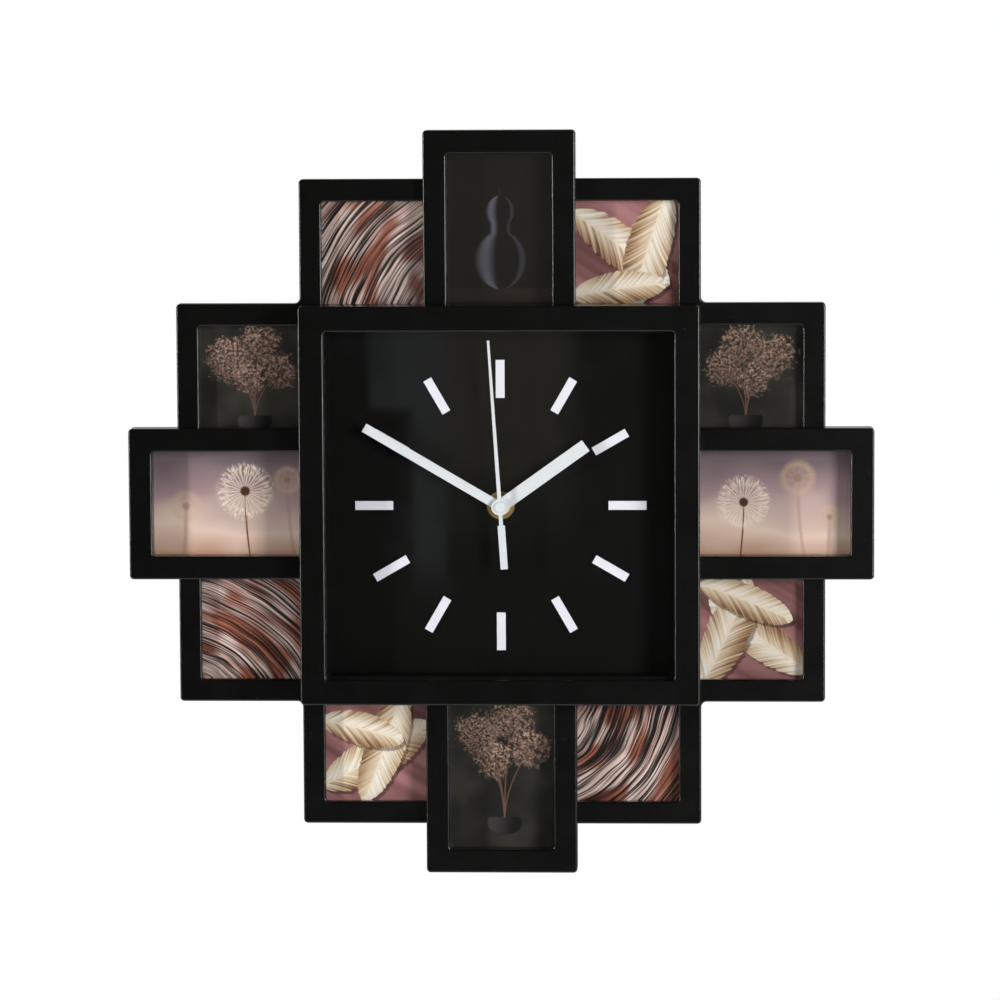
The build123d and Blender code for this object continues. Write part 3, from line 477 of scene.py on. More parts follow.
def lacquered_board():
    """Green lacquered circuit board with copper lanes under the lacquer."""
    material, tree, shader = new_material("circuit_lacquer")
    place, (x, _, z) = surface_place(tree)
    lanes = ((x * 4200).sine() * 0.5 + (z * 3300).sine() * 0.5).rise(0.35, 0.45)
    feed(tree, shader.inputs["Base Color"], mix(tree, lanes, colour("#10381f"), colour("#2c6b38")))
    feed(tree, shader.inputs["Roughness"], noise(tree, place, 200, 2) * 0.2 + 0.2)
    feed(tree, shader.inputs["Normal"], bump(tree, lanes, 0.00004))
    return material


def battery_sleeve():
    """Plain battery sleeve: slate body, a pale band at one end and bare metal at both end faces."""
    material, tree, shader = new_material("battery_cell_sleeve")
    place, (x, _, _) = surface_place(tree)
    low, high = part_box("battery")
    half = (high.x - low.x) / 2
    band = x.rise(high.x - BAND_LENGTH, high.x - BAND_LENGTH + BAND_EDGE)
    body = mix(tree, band, colour("#3d4a55"), colour("#a9aeb0"))
    bare = abs(x - (low.x + high.x) / 2).rise(half - END_LENGTH, half - END_LENGTH + BAND_EDGE)
    feed(tree, shader.inputs["Base Color"], mix(tree, bare, body, colour("#b9b9b6")))
    feed(tree, shader.inputs["Metallic"], bare * 0.6 + 0.35)
    feed(tree, shader.inputs["Roughness"], noise(tree, place, 140, 3) * 0.15 + 0.22)
    feed(tree, shader.inputs["Normal"], bump(tree, noise(tree, place, 900, 2), 0.00003))
    return material


def fibre_board():
    """Brown pressed fibre board with short fibres lying every way."""
    material, tree, shader = new_material("backing_board_fibre")
    place, (x, y, z) = surface_place(tree)
    wander = noise(tree, place, 300, 2) * 2.2
    level = noise(tree, point(tree, x * 420 + wander, y * 1800, z * 2400 + wander), 1, 3)
    upright = noise(tree, point(tree, x * 2400 + wander, y * 1800, z * 420), 1, 3)
    fibres = level * 0.5 + upright * 0.5 + noise(tree, place, 25, 3) * 0.35 - 0.17
    feed(tree, shader.inputs["Base Color"], ramp(tree, fibres, [
        (0.3, colour("#6b5239")), (0.5, colour("#8f7352")), (0.7, colour("#ab8e68"))]))
    feed(tree, shader.inputs["Roughness"], fibres * 0.2 + 0.65)
    feed(tree, shader.inputs["Normal"], bump(tree, fibres, 0.0001))
    return material


# Pictures: generic subjects in the colours of dried plants

def picture(name):
    """Material of a print, with the distances right and up from its middle in millimetres."""
    material, tree, shader = new_material(name)
    low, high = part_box(name)
    middle = (low + high) / 2
    _, (x, _, z) = surface_place(tree)
    across = (x - middle.x) * MILLIMETRES
    up = (z - middle.z) * MILLIMETRES
    return material, tree, shader, across, up


def finish_picture(tree, shader, shown, across, up):
    """Satin photographic paper with a fine grain."""
    grain = noise(tree, point(tree, across, up, 0.0), 6, 2)
    feed(tree, shader.inputs["Base Color"], shaded(tree, shown, grain * 0.24 + 0.88))
    feed(tree, shader.inputs["Roughness"], grain * 0.1 + 0.35)
    shader.inputs["Specular IOR Level"].default_value = 0.25


def windblown_grass(name, focus_x, focus_z, seed):
    """Long grass laid over by wind: fine arcs round a far point, in rust, pale pink and near black."""
    material, tree, shader, across, up = picture(name)
    dx = across - focus_x
    dz = up - focus_z
    radius = (dx * dx + dz * dz).root()
    turn = dz.bearing(dx)
    drift = noise(tree, point(tree, radius / 22, turn * 2.4, seed), 1, 1)
    bent = radius + drift * 7
    wide = noise(tree, point(tree, bent / 1.9, turn * 1.1, seed + 4), 1, 2)
    fine = noise(tree, point(tree, bent / 0.62, turn * 1.6, seed + 7), 1, 2)
    hairs = noise(tree, point(tree, bent / 0.3, turn * 2.0, seed + 9), 1, 1)
    region = noise(tree, point(tree, radius / 14, turn * 2.5, seed + 11), 1, 1)
    warm = mix(tree, hairs.rise(0.3, 0.7), colour("#54251a"), colour("#b9725a"))
    pale = mix(tree, hairs.rise(0.3, 0.7), colour("#a87768"), colour("#f3e2da"))
    body = mix(tree, region.rise(0.42, 0.58), warm, pale)
    lit = (wide * 0.55 + fine * 0.45).rise(0.44, 0.56)
    glow = fine.rise(0.6, 0.72) * region.rise(0.35, 0.55)
    shown = mix(tree, lit, colour("#1b1512"), body)
    shown = mix(tree, glow * 0.8, shown, colour("#f6e9e3"))
    finish_picture(tree, shader, shown, across, up)
    return material


def feather(tree, across, up, base_x, base_z, angle, length, half_width, bend):
    """Cover, light and quill of one feather that points along an angle from its base."""
    c, s = cos(radians(angle)), sin(radians(angle))
    dx = across - base_x
    dz = up - base_z
    along = (dx * c + dz * s) / length
    side = dz * c - dx * s + along * along * (bend * length)
    reach = abs(side)
    barb = along * length - reach * 1.35 + reach * reach * 0.02
    half = side.rise(-0.2, 0.2) * 40
    clumps = noise(tree, point(tree, barb * 0.33 + half, base_x, base_z), 1, 1)
    strands = noise(tree, point(tree, barb * 2.3 + half, reach * 0.06, base_z), 1, 2)
    room = (along * (-along + 1.0)).most(0.0)
    ragged = strands * room.rise(0.0, 0.12) * 1.2
    edge = room.power(0.55) * (clumps * 0.35 + 0.82) * (2.1 * half_width) + ragged
    cover = (edge - reach).rise(0.3, 0.8)
    gaps = (clumps + strands * 0.12).rise(0.36, 0.31)
    split = gaps * reach.rise(half_width * 0.15, half_width * 0.45)
    curl = (reach / half_width).rise(0.0, 1.0) * 0.3
    light = clumps * 0.85 + strands * 0.75 - curl - 0.2 + side.rise(-2.0, 2.0) * 0.18
    quill = reach.rise(0.6, 0.25) * along.rise(-0.25, -0.24) * along.rise(1.0, 0.9)
    return (cover * (-split + 1.0)).most(quill), light, quill


def resting_feathers(name, places, seed):
    """Cream feathers on a dusty pink cloth, each given as feather takes it."""
    material, tree, shader, across, up = picture(name)
    shift_x, shift_z = FEATHER_SHADOW
    slope = (across * 0.6 + up) * 0.5
    folds = noise(tree, point(tree, slope, across * 0.04, seed), 0.16, 2)
    weave = noise(tree, point(tree, across, up, seed), 1.6, 2)
    shown = mix(tree, folds.rise(0.3, 0.7) * 0.75 + weave * 0.25, colour("#5d3833"), colour("#b07c7c"))
    for shape in places:
        below, _, _ = feather(tree, across - shift_x, up - shift_z, *shape)
        shown = mix(tree, below * 0.6, shown, colour("#241512"))
        cover, light, quill = feather(tree, across, up, *shape)
        vane = ramp(tree, light, [
            (0.2, colour("#5f3f2c")), (0.42, colour("#b28e6c")),
            (0.62, colour("#dccab0")), (0.85, colour("#f1eae0"))])
        vane = mix(tree, quill, vane, colour("#f0d9bd"))
        shown = mix(tree, cover, shown, vane)
    finish_picture(tree, shader, shown, across, up)
    return material


def round_head(tree, across, up, x, z, size, seed):
    """Cover and brightness of one round dry flower head made of many florets."""
    dx = across - x
    dz = up - z
    reach = (dx * dx + dz * dz).root() / size
    ragged = noise(tree, point(tree, dx, dz, seed), 0.28, 4, 0.75)
    florets = noise(tree, point(tree, dx, dz, seed + 3), 0.75, 3, 0.75)
    cover = (ragged * 1.9 + 0.02 - reach).rise(0.0, 0.16) * florets.rise(0.41, 0.5)
    light = florets.rise(0.4, 0.72) * (dz * 0.03 + 0.72)
    return cover, light


def heads_in_bowl(name, heads, bowl_x, bowl_z, seed):
    """Round dry flower heads on thin stems in a dark bowl, before a charcoal wall."""
    material, tree, shader, across, up = picture(name)
    wall = noise(tree, point(tree, across, up, seed), 0.035, 2)
    shown = mix(tree, wall.rise(0.3, 0.75), colour("#1b1a18"), colour("#38362f"))
    right = across - bowl_x
    over = up - bowl_z
    bowl = ((right / BOWL_HALF_WIDTH).power(2.0) + (over / BOWL_HALF_HEIGHT).power(2.0)).root()
    for x, z, _ in heads:
        share = (over / (z - bowl_z)).least(1.0).most(0.0)
        lean = share * share * (x - bowl_x) + bowl_x
        stem = abs(across - lean).rise(0.5, 0.2) * share.rise(0.02, 0.1) * share.rise(1.0, 0.98)
        shown = mix(tree, stem * 0.8, shown, colour("#6b4f42"))
    body = mix(tree, right.rise(-8.0, 7.0), colour("#3a3638"), colour("#0e0d0d"))
    shown = mix(tree, bowl.rise(1.0, 0.95) * over.rise(BOWL_RIM, BOWL_RIM - 0.4), shown, body)
    for k, (x, z, size) in enumerate(heads):
        cover, light = round_head(tree, across, up, x, z, size, seed + 7 * k)
        shown = mix(tree, cover, shown, mix(tree, light, colour("#3d2d27"), colour("#c9a692")))
    finish_picture(tree, shader, shown, across, up)
    return material


def seed_clock(tree, across, up, x, z, size, lean, soft):
    """Cover, light and stem of one round feathery seed head on a stalk; soft blurs it."""
    dx = across - x
    dz = up - z
    reach = (dx * dx + dz * dz).root() / size
    turn = dz.bearing(dx)
    jitter = noise(tree, point(tree, dx, dz, x), 0.12, 2) * 5
    first = (turn * 31 + jitter).sine().rise(0.35 - soft, 0.95)
    second = (turn * 23 - jitter * 1.7 + x).sine().rise(0.5 - soft, 0.97)
    spokes = first.most(second) * reach.rise(1.0, 0.8)
    fluff = noise(tree, point(tree, turn * 11, reach * 4, x), 1, 3, 0.7)
    tufts = fluff.rise(0.44 - soft * 0.3, 0.62) * reach.rise(0.5, 0.72) * reach.rise(1.12, 0.9 - soft * 0.2)
    heart = (reach + fluff * 0.12).rise(0.27 + soft * 0.1, 0.2)
    stalk_x = (up - z) * (up - z) * lean + x
    stalk = abs(across - stalk_x).rise(0.65 + soft, 0.3) * (up - z).rise(-size * 0.1, -size * 0.2)
    return (spokes * 0.62).most(tufts * 0.92), heart, stalk


def meadow_at_dusk(name, near, distant, seed):
    """Seed heads before a blurred sky that pales towards the ground."""
    material, tree, shader, across, up = picture(name)
    cloud = noise(tree, point(tree, across, up * 1.5, seed), 0.025, 1)
    height = up / 62 + cloud * 0.5 - 0.25
    shown = ramp(tree, height + 0.5, [
        (0.02, colour("#c79c84")), (0.28, colour("#e3c8b8")),
        (0.55, colour("#a68b8c")), (0.9, colour("#6f6065"))])
    for x, z, size, lean in distant:
        cover, heart, stalk = seed_clock(tree, across, up, x, z, size, lean, 0.9)
        shown = mix(tree, stalk * 0.4, shown, colour("#a98668"))
        shown = mix(tree, cover * 0.6, shown, colour("#cfae90"))
        shown = mix(tree, heart * 0.5, shown, colour("#8a6344"))
    for x, z, size, lean in near:
        cover, heart, stalk = seed_clock(tree, across, up, x, z, size, lean, 0.0)
        shown = mix(tree, stalk, shown, colour("#82553a"))
        shown = mix(tree, cover, shown, colour("#efdcc9"))
        shown = mix(tree, heart, shown, colour("#4d2f1d"))
    finish_picture(tree, shader, shown, across, up)
    return material


def dark_gourd(name, seed):
    """Dark gourd on a dark table, lit faintly from the left."""
    material, tree, shader, across, up = picture(name)
    wall = noise(tree, point(tree, across, up, seed), 0.03, 2)
    shown = mix(tree, wall, colour("#030303"), colour("#0c0c0a"))
    table = up.rise(TABLE_TOP, TABLE_TOP - 2.0)
    shown = mix(tree, table, shown, mix(tree, wall, colour("#0e0a08"), colour("#2a1b17")))
    low_bulb = (-(up - LOW_BULB_LEVEL).power(2.0) + LOW_BULB_RADIUS ** 2).most(0.0).root()
    high_bulb = (-(up - HIGH_BULB_LEVEL).power(2.0) + HIGH_BULB_RADIUS ** 2).most(0.0).root()
    neck = up.rise(LOW_BULB_LEVEL, -9.0) * up.rise(12.0, 6.0) * NECK_HALF_WIDTH
    width = low_bulb.most(high_bulb).most(neck).most(0.2)
    body = (width - abs(across)).rise(0.0, 1.0)
    bent = abs(across - (up - STALK_LEVEL).power(2.0) * 0.03)
    stalk = bent.rise(1.5, 1.0) * up.rise(STALK_LEVEL, STALK_LEVEL + 1.0) * up.rise(31.0, 30.0)
    side = across / width
    light = side.rise(-0.95, -0.6) * side.rise(-0.1, -0.6)
    glint = side.rise(0.95, 0.8) * side.rise(0.6, 0.75)
    skin = mix(tree, light * 0.95 + glint * 0.3, colour("#060607"), colour("#50505a"))
    shown = mix(tree, body.most(stalk), shown, skin)
    finish_picture(tree, shader, shown, across, up)
    return material


def paint_pictures():
    """Gives every print its picture. Places are right and up from its middle, in millimetres."""
    made = {
        "print_top_left": windblown_grass("print_top_left", 70.0, -52.0, 3.0),
        "print_left_lower": windblown_grass("print_left_lower", -48.0, -66.0, 17.0),
        "print_bottom_right": windblown_grass("print_bottom_right", -66.0, 40.0, 29.0),
        "print_top_right": resting_feathers("print_top_right", [
            (-30.0, 22.0, -34.0, 66.0, 11.0, 0.06), (22.0, 32.0, -112.0, 64.0, 12.0, -0.08),
            (-30.0, -24.0, 12.0, 52.0, 9.0, 0.07)], 2.0),
        "print_right_lower": resting_feathers("print_right_lower", [
            (32.0, -24.0, 148.0, 68.0, 11.0, 0.08), (-26.0, -30.0, 62.0, 62.0, 12.0, -0.07),
            (-28.0, 24.0, -18.0, 54.0, 9.0, 0.06)], 8.0),
        "print_bottom_left": resting_feathers("print_bottom_left", [
            (-30.0, -20.0, 26.0, 68.0, 12.0, -0.08), (14.0, 34.0, -104.0, 66.0, 11.0, 0.08),
            (-30.0, 16.0, -10.0, 46.0, 9.0, 0.07)], 14.0),
        "print_left_upper": heads_in_bowl("print_left_upper", [
            (-13.0, 9.0, 12.5), (5.0, 17.0, 12.0), (15.0, 3.0, 10.0), (-1.0, -1.0, 9.5)], 2.0, -24.0, 1.0),
        "print_right_upper": heads_in_bowl("print_right_upper", [
            (-15.0, 4.0, 10.5), (-5.0, 17.0, 12.0), (12.0, 10.0, 12.5), (1.0, -2.0, 9.5)], -3.0, -24.0, 21.0),
        "print_bottom": heads_in_bowl("print_bottom", [
            (-13.0, 21.0, 12.5), (5.0, 30.0, 12.5), (15.0, 13.0, 11.0), (-4.0, 7.0, 11.0)], 1.0, -27.0, 41.0),
        "print_left": meadow_at_dusk("print_left", [(9.0, 6.0, 15.0, 0.002)], [
            (-23.0, -2.0, 9.0, -0.002), (32.0, 12.0, 8.0, 0.002)], 5.0),
        "print_right": meadow_at_dusk("print_right", [(-17.0, 0.0, 14.0, -0.002)], [
            (12.0, 13.0, 10.0, 0.002), (29.0, -8.0, 7.0, -0.002)], 9.0),
        "print_top": dark_gourd("print_top", 6.0),
    }
    for name, material in made.items():
        set_material(nodes[name], material)


def set_material(piece, material):
    piece.data.materials.clear()
    piece.data.materials.append(material)


def paint_parts():
    """Gives every other CAD node the finish of its material slot."""
    finishes = {
        "black_frame": black_plastic(
            "black_frame_plastic", (0.0020, 0.0023, 0.0019), 0.23, 900, 0.00001, 0.5),
        "black_dial": black_plastic(
            "black_dial_sheet", (0.0036, 0.0038, 0.0031), 0.42, 2400, 0.00001, 0.35, 0.1),
        "clear_pane": clear_sheet(),
        "white_marker": satin_paint("white_marker_paint", colour("#e8e6ee")[:3], 0.5),
        "white_hand": satin_paint("white_hand_paint", colour("#dcdfe1")[:3], 0.4),
        "movement_plastic": black_plastic(
            "movement_plastic_grain", (0.012, 0.012, 0.013), 0.5, 2600, 0.00006, 0.6),
        "brass": turned_metal("brass_turned", 0.42),
        "gasket_rubber": moulded("gasket_rubber_soft", (0.02, 0.02, 0.02), 0.75, 0.00004),
        "wheel_plastic": moulded("wheel_plastic_natural", (0.82, 0.81, 0.74), 0.42, 0.00002),
        "rotor_magnet": coated_steel("rotor_magnet_dark", colour("#38383c"), 0.45),
        "stator_steel": plated_metal("stator_steel_sheet", colour("#b4b4b6"), colour("#77777a"), 0.35),
        "coil_wire": wound_wire(),
        "circuit": lacquered_board(),
        "battery_cell": battery_sleeve(),
        "contact_steel": plated_metal("contact_steel_strip", colour("#d6d6d2"), colour("#a09f98"), 0.28),
        "zinc_steel": plated_metal("zinc_steel_plate", colour("#c2c3c0"), colour("#8d8e8c"), 0.34),
        "latch_steel": coated_steel("latch_steel_coat", (0.02, 0.02, 0.021, 1.0), 0.4),
        "backing_board": fibre_board(),
    }
    for part in frame["record"]["subparts"]:
        if part["material_slot"] in finishes:
            set_material(nodes[part["node"]], finishes[part["material_slot"]])
    return finishes


# Detail pieces, in millimetres: loops of points run round an axis that points at the wall

def ring_point(radius, angle, height):
    return radius * cos(angle), radius * sin(angle), height


def lathe_row(radius, height, count):
    """Loop of points round the axis."""
    return [ring_point(radius, 2 * pi * k / count, height) for k in range(count)]


def thread_rows(outer, depth, pitch, low, high, count):
    """Loops of a screw thread between two heights."""
    rows = []
    steps = round((high - low) / pitch * THREAD_STEPS)
    for step in range(steps + 1):
        height = low + (high - low) * step / steps
        row = []
        for k in range(count):
            phase = (height / pitch - k / count) % 1.0
            row.append(ring_point(outer - depth * abs(2 * phase - 1), 2 * pi * k / count, height))
        rows.append(row)
    return rows


def skin(rows, around=False, caps=(False, False)):
    """Points and faces of a skin over loops of equal count; around joins the last loop to the first."""
    count = len(rows[0])
    points = [p for row in rows for p in row]
    faces = []
    for r in range(len(rows) if around else len(rows) - 1):
        low, high = r * count, (r + 1) % len(rows) * count
        for k in range(count):
            following = (k + 1) % count
            faces.append((low + k, low + following, high + following, high + k))
    if caps[0]:
        faces.append(tuple(range(count)))
    if caps[1]:
        faces.append(tuple(range(len(points) - count, len(points))))
    return points, faces


def joined(shapes):
    """One shape of several."""
    points, faces = [], []
    for more_points, more_faces in shapes:
        start = len(points)
        points += more_points
        faces += [tuple(start + k for k in face) for face in more_faces]
    return points, faces


def moved(shape, x, level, z):
    """Shape with its axis at x and z; its heights run back from a stand-off."""
    return [(x + u, -(level - h), z + v) for u, v, h in shape[0]], shape[1]


def shifted(shape, x, z):
    """Shape moved square to its axis."""
    return [(x + u, z + v, h) for u, v, h in shape[0]], shape[1]


def cross_row(reach, half, height):
    """Loop of points round a cross, from how far its arms reach and half their width."""
    row = []
    for turn in range(4):
        c, s = round(cos(turn * pi / 2)), round(sin(turn * pi / 2))
        corners = ((reach, -half), (reach, half), (half, half))
        row += [(u * c - v * s, u * s + v * c, height) for u, v in corners]
    return row


def cross_screw(profile, length, count=32):
    """Threaded screw with a cross recess in its head; the profile runs from the shank to the top."""
    tip = lathe_row(SHANK_RADIUS * 0.25, -length, count)
    thread = thread_rows(SHANK_RADIUS, SHANK_RADIUS * 0.22, SCREW_PITCH, -length + SHANK_RADIUS, -HAIR, count)
    head = [lathe_row(radius, height, count) for radius, height in profile]
    body = skin([tip] + thread + head, caps=(True, False))
    rim, top = profile[-1]
    mouth = cross_row(rim * RECESS_MOUTH[0], RECESS_MOUTH[1], top)
    foot = cross_row(rim * RECESS_FOOT[0], RECESS_FOOT[1], top - RECESS_DEPTH)
    fans = tessellate_polygon([[Vector(p) for p in row] for row in (head[-1], mouth)])
    face = (head[-1] + mouth, [tuple(fan) for fan in fans])
    return joined([body, face, skin([mouth, foot], caps=(False, True))])


def prism(outline, low, high):
    """Straight-sided raised shape of an outline, between two heights."""
    return skin([[(u, v, height) for u, v in outline] for height in (low, high)], caps=(True, True))


def bar(left, right, bottom, top, low=-SUNK, high=SIGN_HEIGHT):
    """Raised shape with a rectangular outline."""
    return prism([(left, bottom), (right, bottom), (right, top), (left, top)], low, high)


def turn_arrow(inner, outer, start, end):
    """Curved arrow that points anticlockwise as seen from the front; the angles are in degrees."""
    steps = 24
    angles = [radians(start + (end - start) * k / steps) for k in range(steps + 1)]
    middle, wing, tip = (inner + outer) / 2, (outer - inner) * 0.9, radians(end + 18)
    places = [(outer, a) for a in angles]
    places += [(middle + wing, angles[-1]), (middle, tip), (middle - wing, angles[-1])]
    places += [(inner, a) for a in reversed(angles)]
    return prism([(radius * cos(a), radius * sin(a)) for radius, a in places], -SUNK, SIGN_HEIGHT)


def add_piece(name, shape, finish, body, edge=0.0):
    """Adds a piece to the scene; edge is how far its edges are bevelled, in millimetres."""
    points, faces = shape
    mesh = bpy.data.meshes.new(name)
    mesh.from_pydata([Vector(p) / MILLIMETRES for p in points], [], faces)
    work = bmesh.new()
    work.from_mesh(mesh)
    bmesh.ops.remove_doubles(work, verts=work.verts, dist=0.000002)
    bmesh.ops.recalc_face_normals(work, faces=work.faces)
    work.to_mesh(mesh)
    work.free()
    mesh.materials.append(finish)
    piece = bpy.data.objects.new(name, mesh)
    bpy.context.scene.collection.objects.link(piece)
    if edge:
        bevel = piece.modifiers.new("edges", "BEVEL")
        bevel.width = edge / MILLIMETRES
        bevel.segments = 2
        bevel.limit_method = "ANGLE"
    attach(piece, body)
    return piece


def levels(name):
    """Stand-offs of the back and the front of a node."""
    low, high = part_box(name)
    return -high.y * MILLIMETRES, -low.y * MILLIMETRES


def centre(name):
    """Middle of a node, right and up."""
    low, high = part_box(name)
    return (low.x + high.x) / 2 * MILLIMETRES, (low.z + high.z) / 2 * MILLIMETRES


def screw_places(name):
    """Axis of each screw of a node, from its own points."""
    groups = []
    for vertex in nodes[name].data.vertices:
        x, _, z = nodes[name].matrix_world @ vertex.co * MILLIMETRES
        group = next((g for g in groups if max(abs(g[0][0] - x), abs(g[0][1] - z)) < SCREW_REACH), None)
        if group is None:
            groups.append([(x, z)])
        else:
            group.append((x, z))
    ends = [[(min(row), max(row)) for row in zip(*group)] for group in groups]
    return [((x0 + x1) / 2, (z0 + z1) / 2) for (x0, x1), (z0, z1) in ends]


def dress_screws(finish):
    """Threaded screws with crossed heads in place of the plain ones."""
    kinds = (("bezel_screws", PAN_HEAD, PAN_GAP), ("button_screws", PAN_HEAD, PAN_GAP),
             ("hanger_screws", FLAT_HEAD, 0.0))
    for name, profile, gap in kinds:
        back, front = levels(name)
        seat = back + profile[-1][1] + gap
        screw = cross_screw(profile, front - seat - HAIR)
        shape = joined([moved(screw, x, seat, z) for x, z in screw_places(name)])
        piece = add_piece(name + "_crossed", shape, finish, "frame")
        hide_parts(name)


def dress_bush(finish):
    """Bush with its thread cut."""
    back, front = levels("threaded_bush")
    length = front - back
    count = 64
    rows = [lathe_row(BUSH_RADIUS, 0.0, count), lathe_row(BUSH_RADIUS, -BUSH_FLANGE, count)]
    thread = thread_rows(BUSH_RADIUS + 0.04, 0.28, BUSH_PITCH, -length + 0.35, -BUSH_FLANGE - HAIR, count)
    rows += thread[::-1]
    rows += [lathe_row(BUSH_RADIUS - 0.4, -length, count), lathe_row(BUSH_BORE, -length, count),
             lathe_row(BUSH_BORE, 0.0, count)]
    piece = add_piece("bush_threaded", moved(skin(rows, around=True), 0, back, 0), finish, "frame")
    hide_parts("threaded_bush")


def dress_nut(finish):
    """Hexagon nut with its corners turned off on both faces."""
    back, front = levels("fixing_nut")
    thick = front - back
    count = 96
    turned = ((4.9, 0.0), (5.3, 0.16), (5.8, 0.45))
    limits = [(limit, -height) for limit, height in turned]
    limits += [(limit, height - thick) for limit, height in reversed(turned)]
    rows = []
    for limit, height in limits:
        row = []
        for k in range(count):
            angle = 2 * pi * k / count
            side = NUT_HALF_WIDTH / cos((angle + pi / 6) % (pi / 3) - pi / 6)
            row.append(ring_point(min(side, limit), angle, height))
        rows.append(row)
    rows += [lathe_row(NUT_BORE + 0.22, -thick, count), lathe_row(NUT_BORE, 0.2 - thick, count),
             lathe_row(NUT_BORE, 0.0, count)]
    piece = add_piece("nut_chamfered", moved(skin(rows, around=True), 0, back, 0), finish, "frame")
    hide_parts("fixing_nut")


def dress_knob(finish):
    """Raised hub and two turning arrows on the back of the setting knob."""
    back, _ = levels("set_knob")
    x, z = centre("set_knob")
    hub = skin([lathe_row(radius, height, 48) for radius, height in (
        (2.3, -SUNK), (2.3, 0.25), (2.1, 0.4), (1.2, 0.4), (1.0, -SUNK))], around=True)
    shape = joined([hub, turn_arrow(*KNOB_ARROW, 20, 150), turn_arrow(*KNOB_ARROW, 200, 330)])
    add_piece("set_knob_arrows", moved(shape, x, back, z), finish, "motion_set", 0.08)


def dress_case(finish):
    """Ribs, plus and minus marks, a border, an arrow and four snap tabs on the back of the movement."""
    back, front = levels("movement_case_back")
    low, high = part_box("movement_case_back")
    half = (high.x - low.x) / 2 * MILLIMETRES
    feet = [RIB_FOOT + RIB_STEP * k for k in range(RIB_COUNT)]
    shapes = [bar(*RIB_ENDS, foot, foot + RIB_WIDTH, high=RIB_HEIGHT) for foot in feet]
    x, z = SIGN_PLACE
    low_edge, high_edge = z - SIGN_HALF_WIDTH, z + SIGN_HALF_WIDTH
    for place in (x, -x):
        shapes.append(bar(place - SIGN_HALF_LENGTH, place + SIGN_HALF_LENGTH, low_edge, high_edge))
    for foot, top in ((high_edge, z + SIGN_HALF_LENGTH), (z - SIGN_HALF_LENGTH, low_edge)):
        shapes.append(bar(x - SIGN_HALF_WIDTH, x + SIGN_HALF_WIDTH, foot, top))
    edge = half - BORDER_INSET
    inner = edge - BORDER_WIDTH
    shapes += [bar(-edge, edge, inner, edge), bar(-edge, -inner, BORDER_FOOT, inner),
               bar(inner, edge, BORDER_FOOT, inner)]
    shapes.append(shifted(turn_arrow(*CASE_ARROW, -60, 40), *centre("set_knob")))
    for side in (-1, 1):
        bottom, top = sorted((side * (half - SUNK), side * (half + TAB_REACH)))
        for place in (-TAB_PLACE, TAB_PLACE):
            shapes.append(bar(place - TAB_HALF_WIDTH, place + TAB_HALF_WIDTH, bottom, top,
                              back - front - TAB_PAST, -TAB_DROP))
    shape = moved(joined(shapes), 0, back, 0)
    add_piece("case_back_mouldings", shape, finish, "frame", 0.1)


def dress_coil(finish):
    """Windings of the motor coil: one wire in an even helix over the bobbin."""
    low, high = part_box("motor_coil")
    middle = (low + high) / 2
    half = (high.z - low.z) / 2 - COIL_END_GAP
    wire = bpy.data.curves.new("coil_windings", "CURVE")
    wire.dimensions = "3D"
    wire.bevel_depth = WIRE_RADIUS
    wire.bevel_resolution = 1
    line = wire.splines.new("POLY")
    steps = COIL_TURNS * COIL_STEPS
    line.points.add(steps)
    for k, entry in enumerate(line.points):
        height = middle.z - half + 2 * half * k / steps
        u, v, height = ring_point(COIL_RADIUS, 2 * pi * k / COIL_STEPS, height)
        entry.co = (middle.x + u, middle.y + v, height, 1.0)
    wire.materials.append(finish)
    piece = bpy.data.objects.new("coil_windings", wire)
    bpy.context.scene.collection.objects.link(piece)
    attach(piece, "frame")


def add_details(finishes):
    """Adds every detail piece in the finish of its slot."""
    dress_screws(finishes["zinc_steel"])
    dress_bush(finishes["brass"])
    dress_nut(finishes["brass"])
    dress_knob(finishes["movement_plastic"])
    dress_case(finishes["movement_plastic"])
    dress_coil(finishes["coil_wire"])


# Studio

def make_world():
    """White to the camera, pale to mirrors from behind the clock, and dim and even as light.

    Before the clock it is dark, but for the panels that the dial's sheet mirrors.
    """
    world = bpy.data.worlds.new("studio_world")
    bpy.context.scene.world = world
    world.use_nodes = True
    tree = world.node_tree
    seen = rays(tree, "Is Camera Ray", "Is Transmission Ray")
    glossy = rays(tree, "Is Glossy Ray")
    split = tree.nodes.new("ShaderNodeSeparateXYZ")
    tree.links.new(tree.nodes.new("ShaderNodeTexCoord").outputs["Generated"], split.inputs[0])
    side, depth, height = (Number(tree, out) for out in split.outputs)
    behind = depth.rise(*BEHIND)
    before = depth.rise(*BEFORE)
    reach = (-depth).most(LEAST_DEPTH)
    slope = side / reach
    pitch = height / reach
    wide = slope.rise(*WIDE_SIDE) * pitch.rise(*WIDE_FOOT)
    narrow = slope.rise(*NARROW_SIDE) * pitch.rise(*NARROW_FOOT)
    cool = wide.most(narrow) * slope.rise(*COOL_END)
    warm = slope.rise(*WARM_START) * slope.rise(*WARM_END) * pitch.rise(*WARM_FOOT)
    side_panel = slope.rise(*SIDE_START) * slope.rise(*SIDE_END) * pitch.rise(*SIDE_FOOT)
    panels = (cool + warm * WARM_SHARE) * GLOW + side_panel * SIDE_GLOW
    mirrored = glossy * (behind * MIRRORED_WHITE + panels * before + DARK_SIDE)
    strength = seen.most(mirrored).most(rays(tree, "Is Diffuse Ray") * AMBIENT)
    tint = mix(tree, cool * glossy, WHITE, COOL_TINT)
    tint = mix(tree, warm * glossy, tint, WARM_TINT)
    tint = mix(tree, behind * glossy, tint, BEHIND_TINT)
    background = tree.nodes["Background"]
    feed(tree, background.inputs["Color"], tint)
    feed(tree, background.inputs["Strength"], strength)


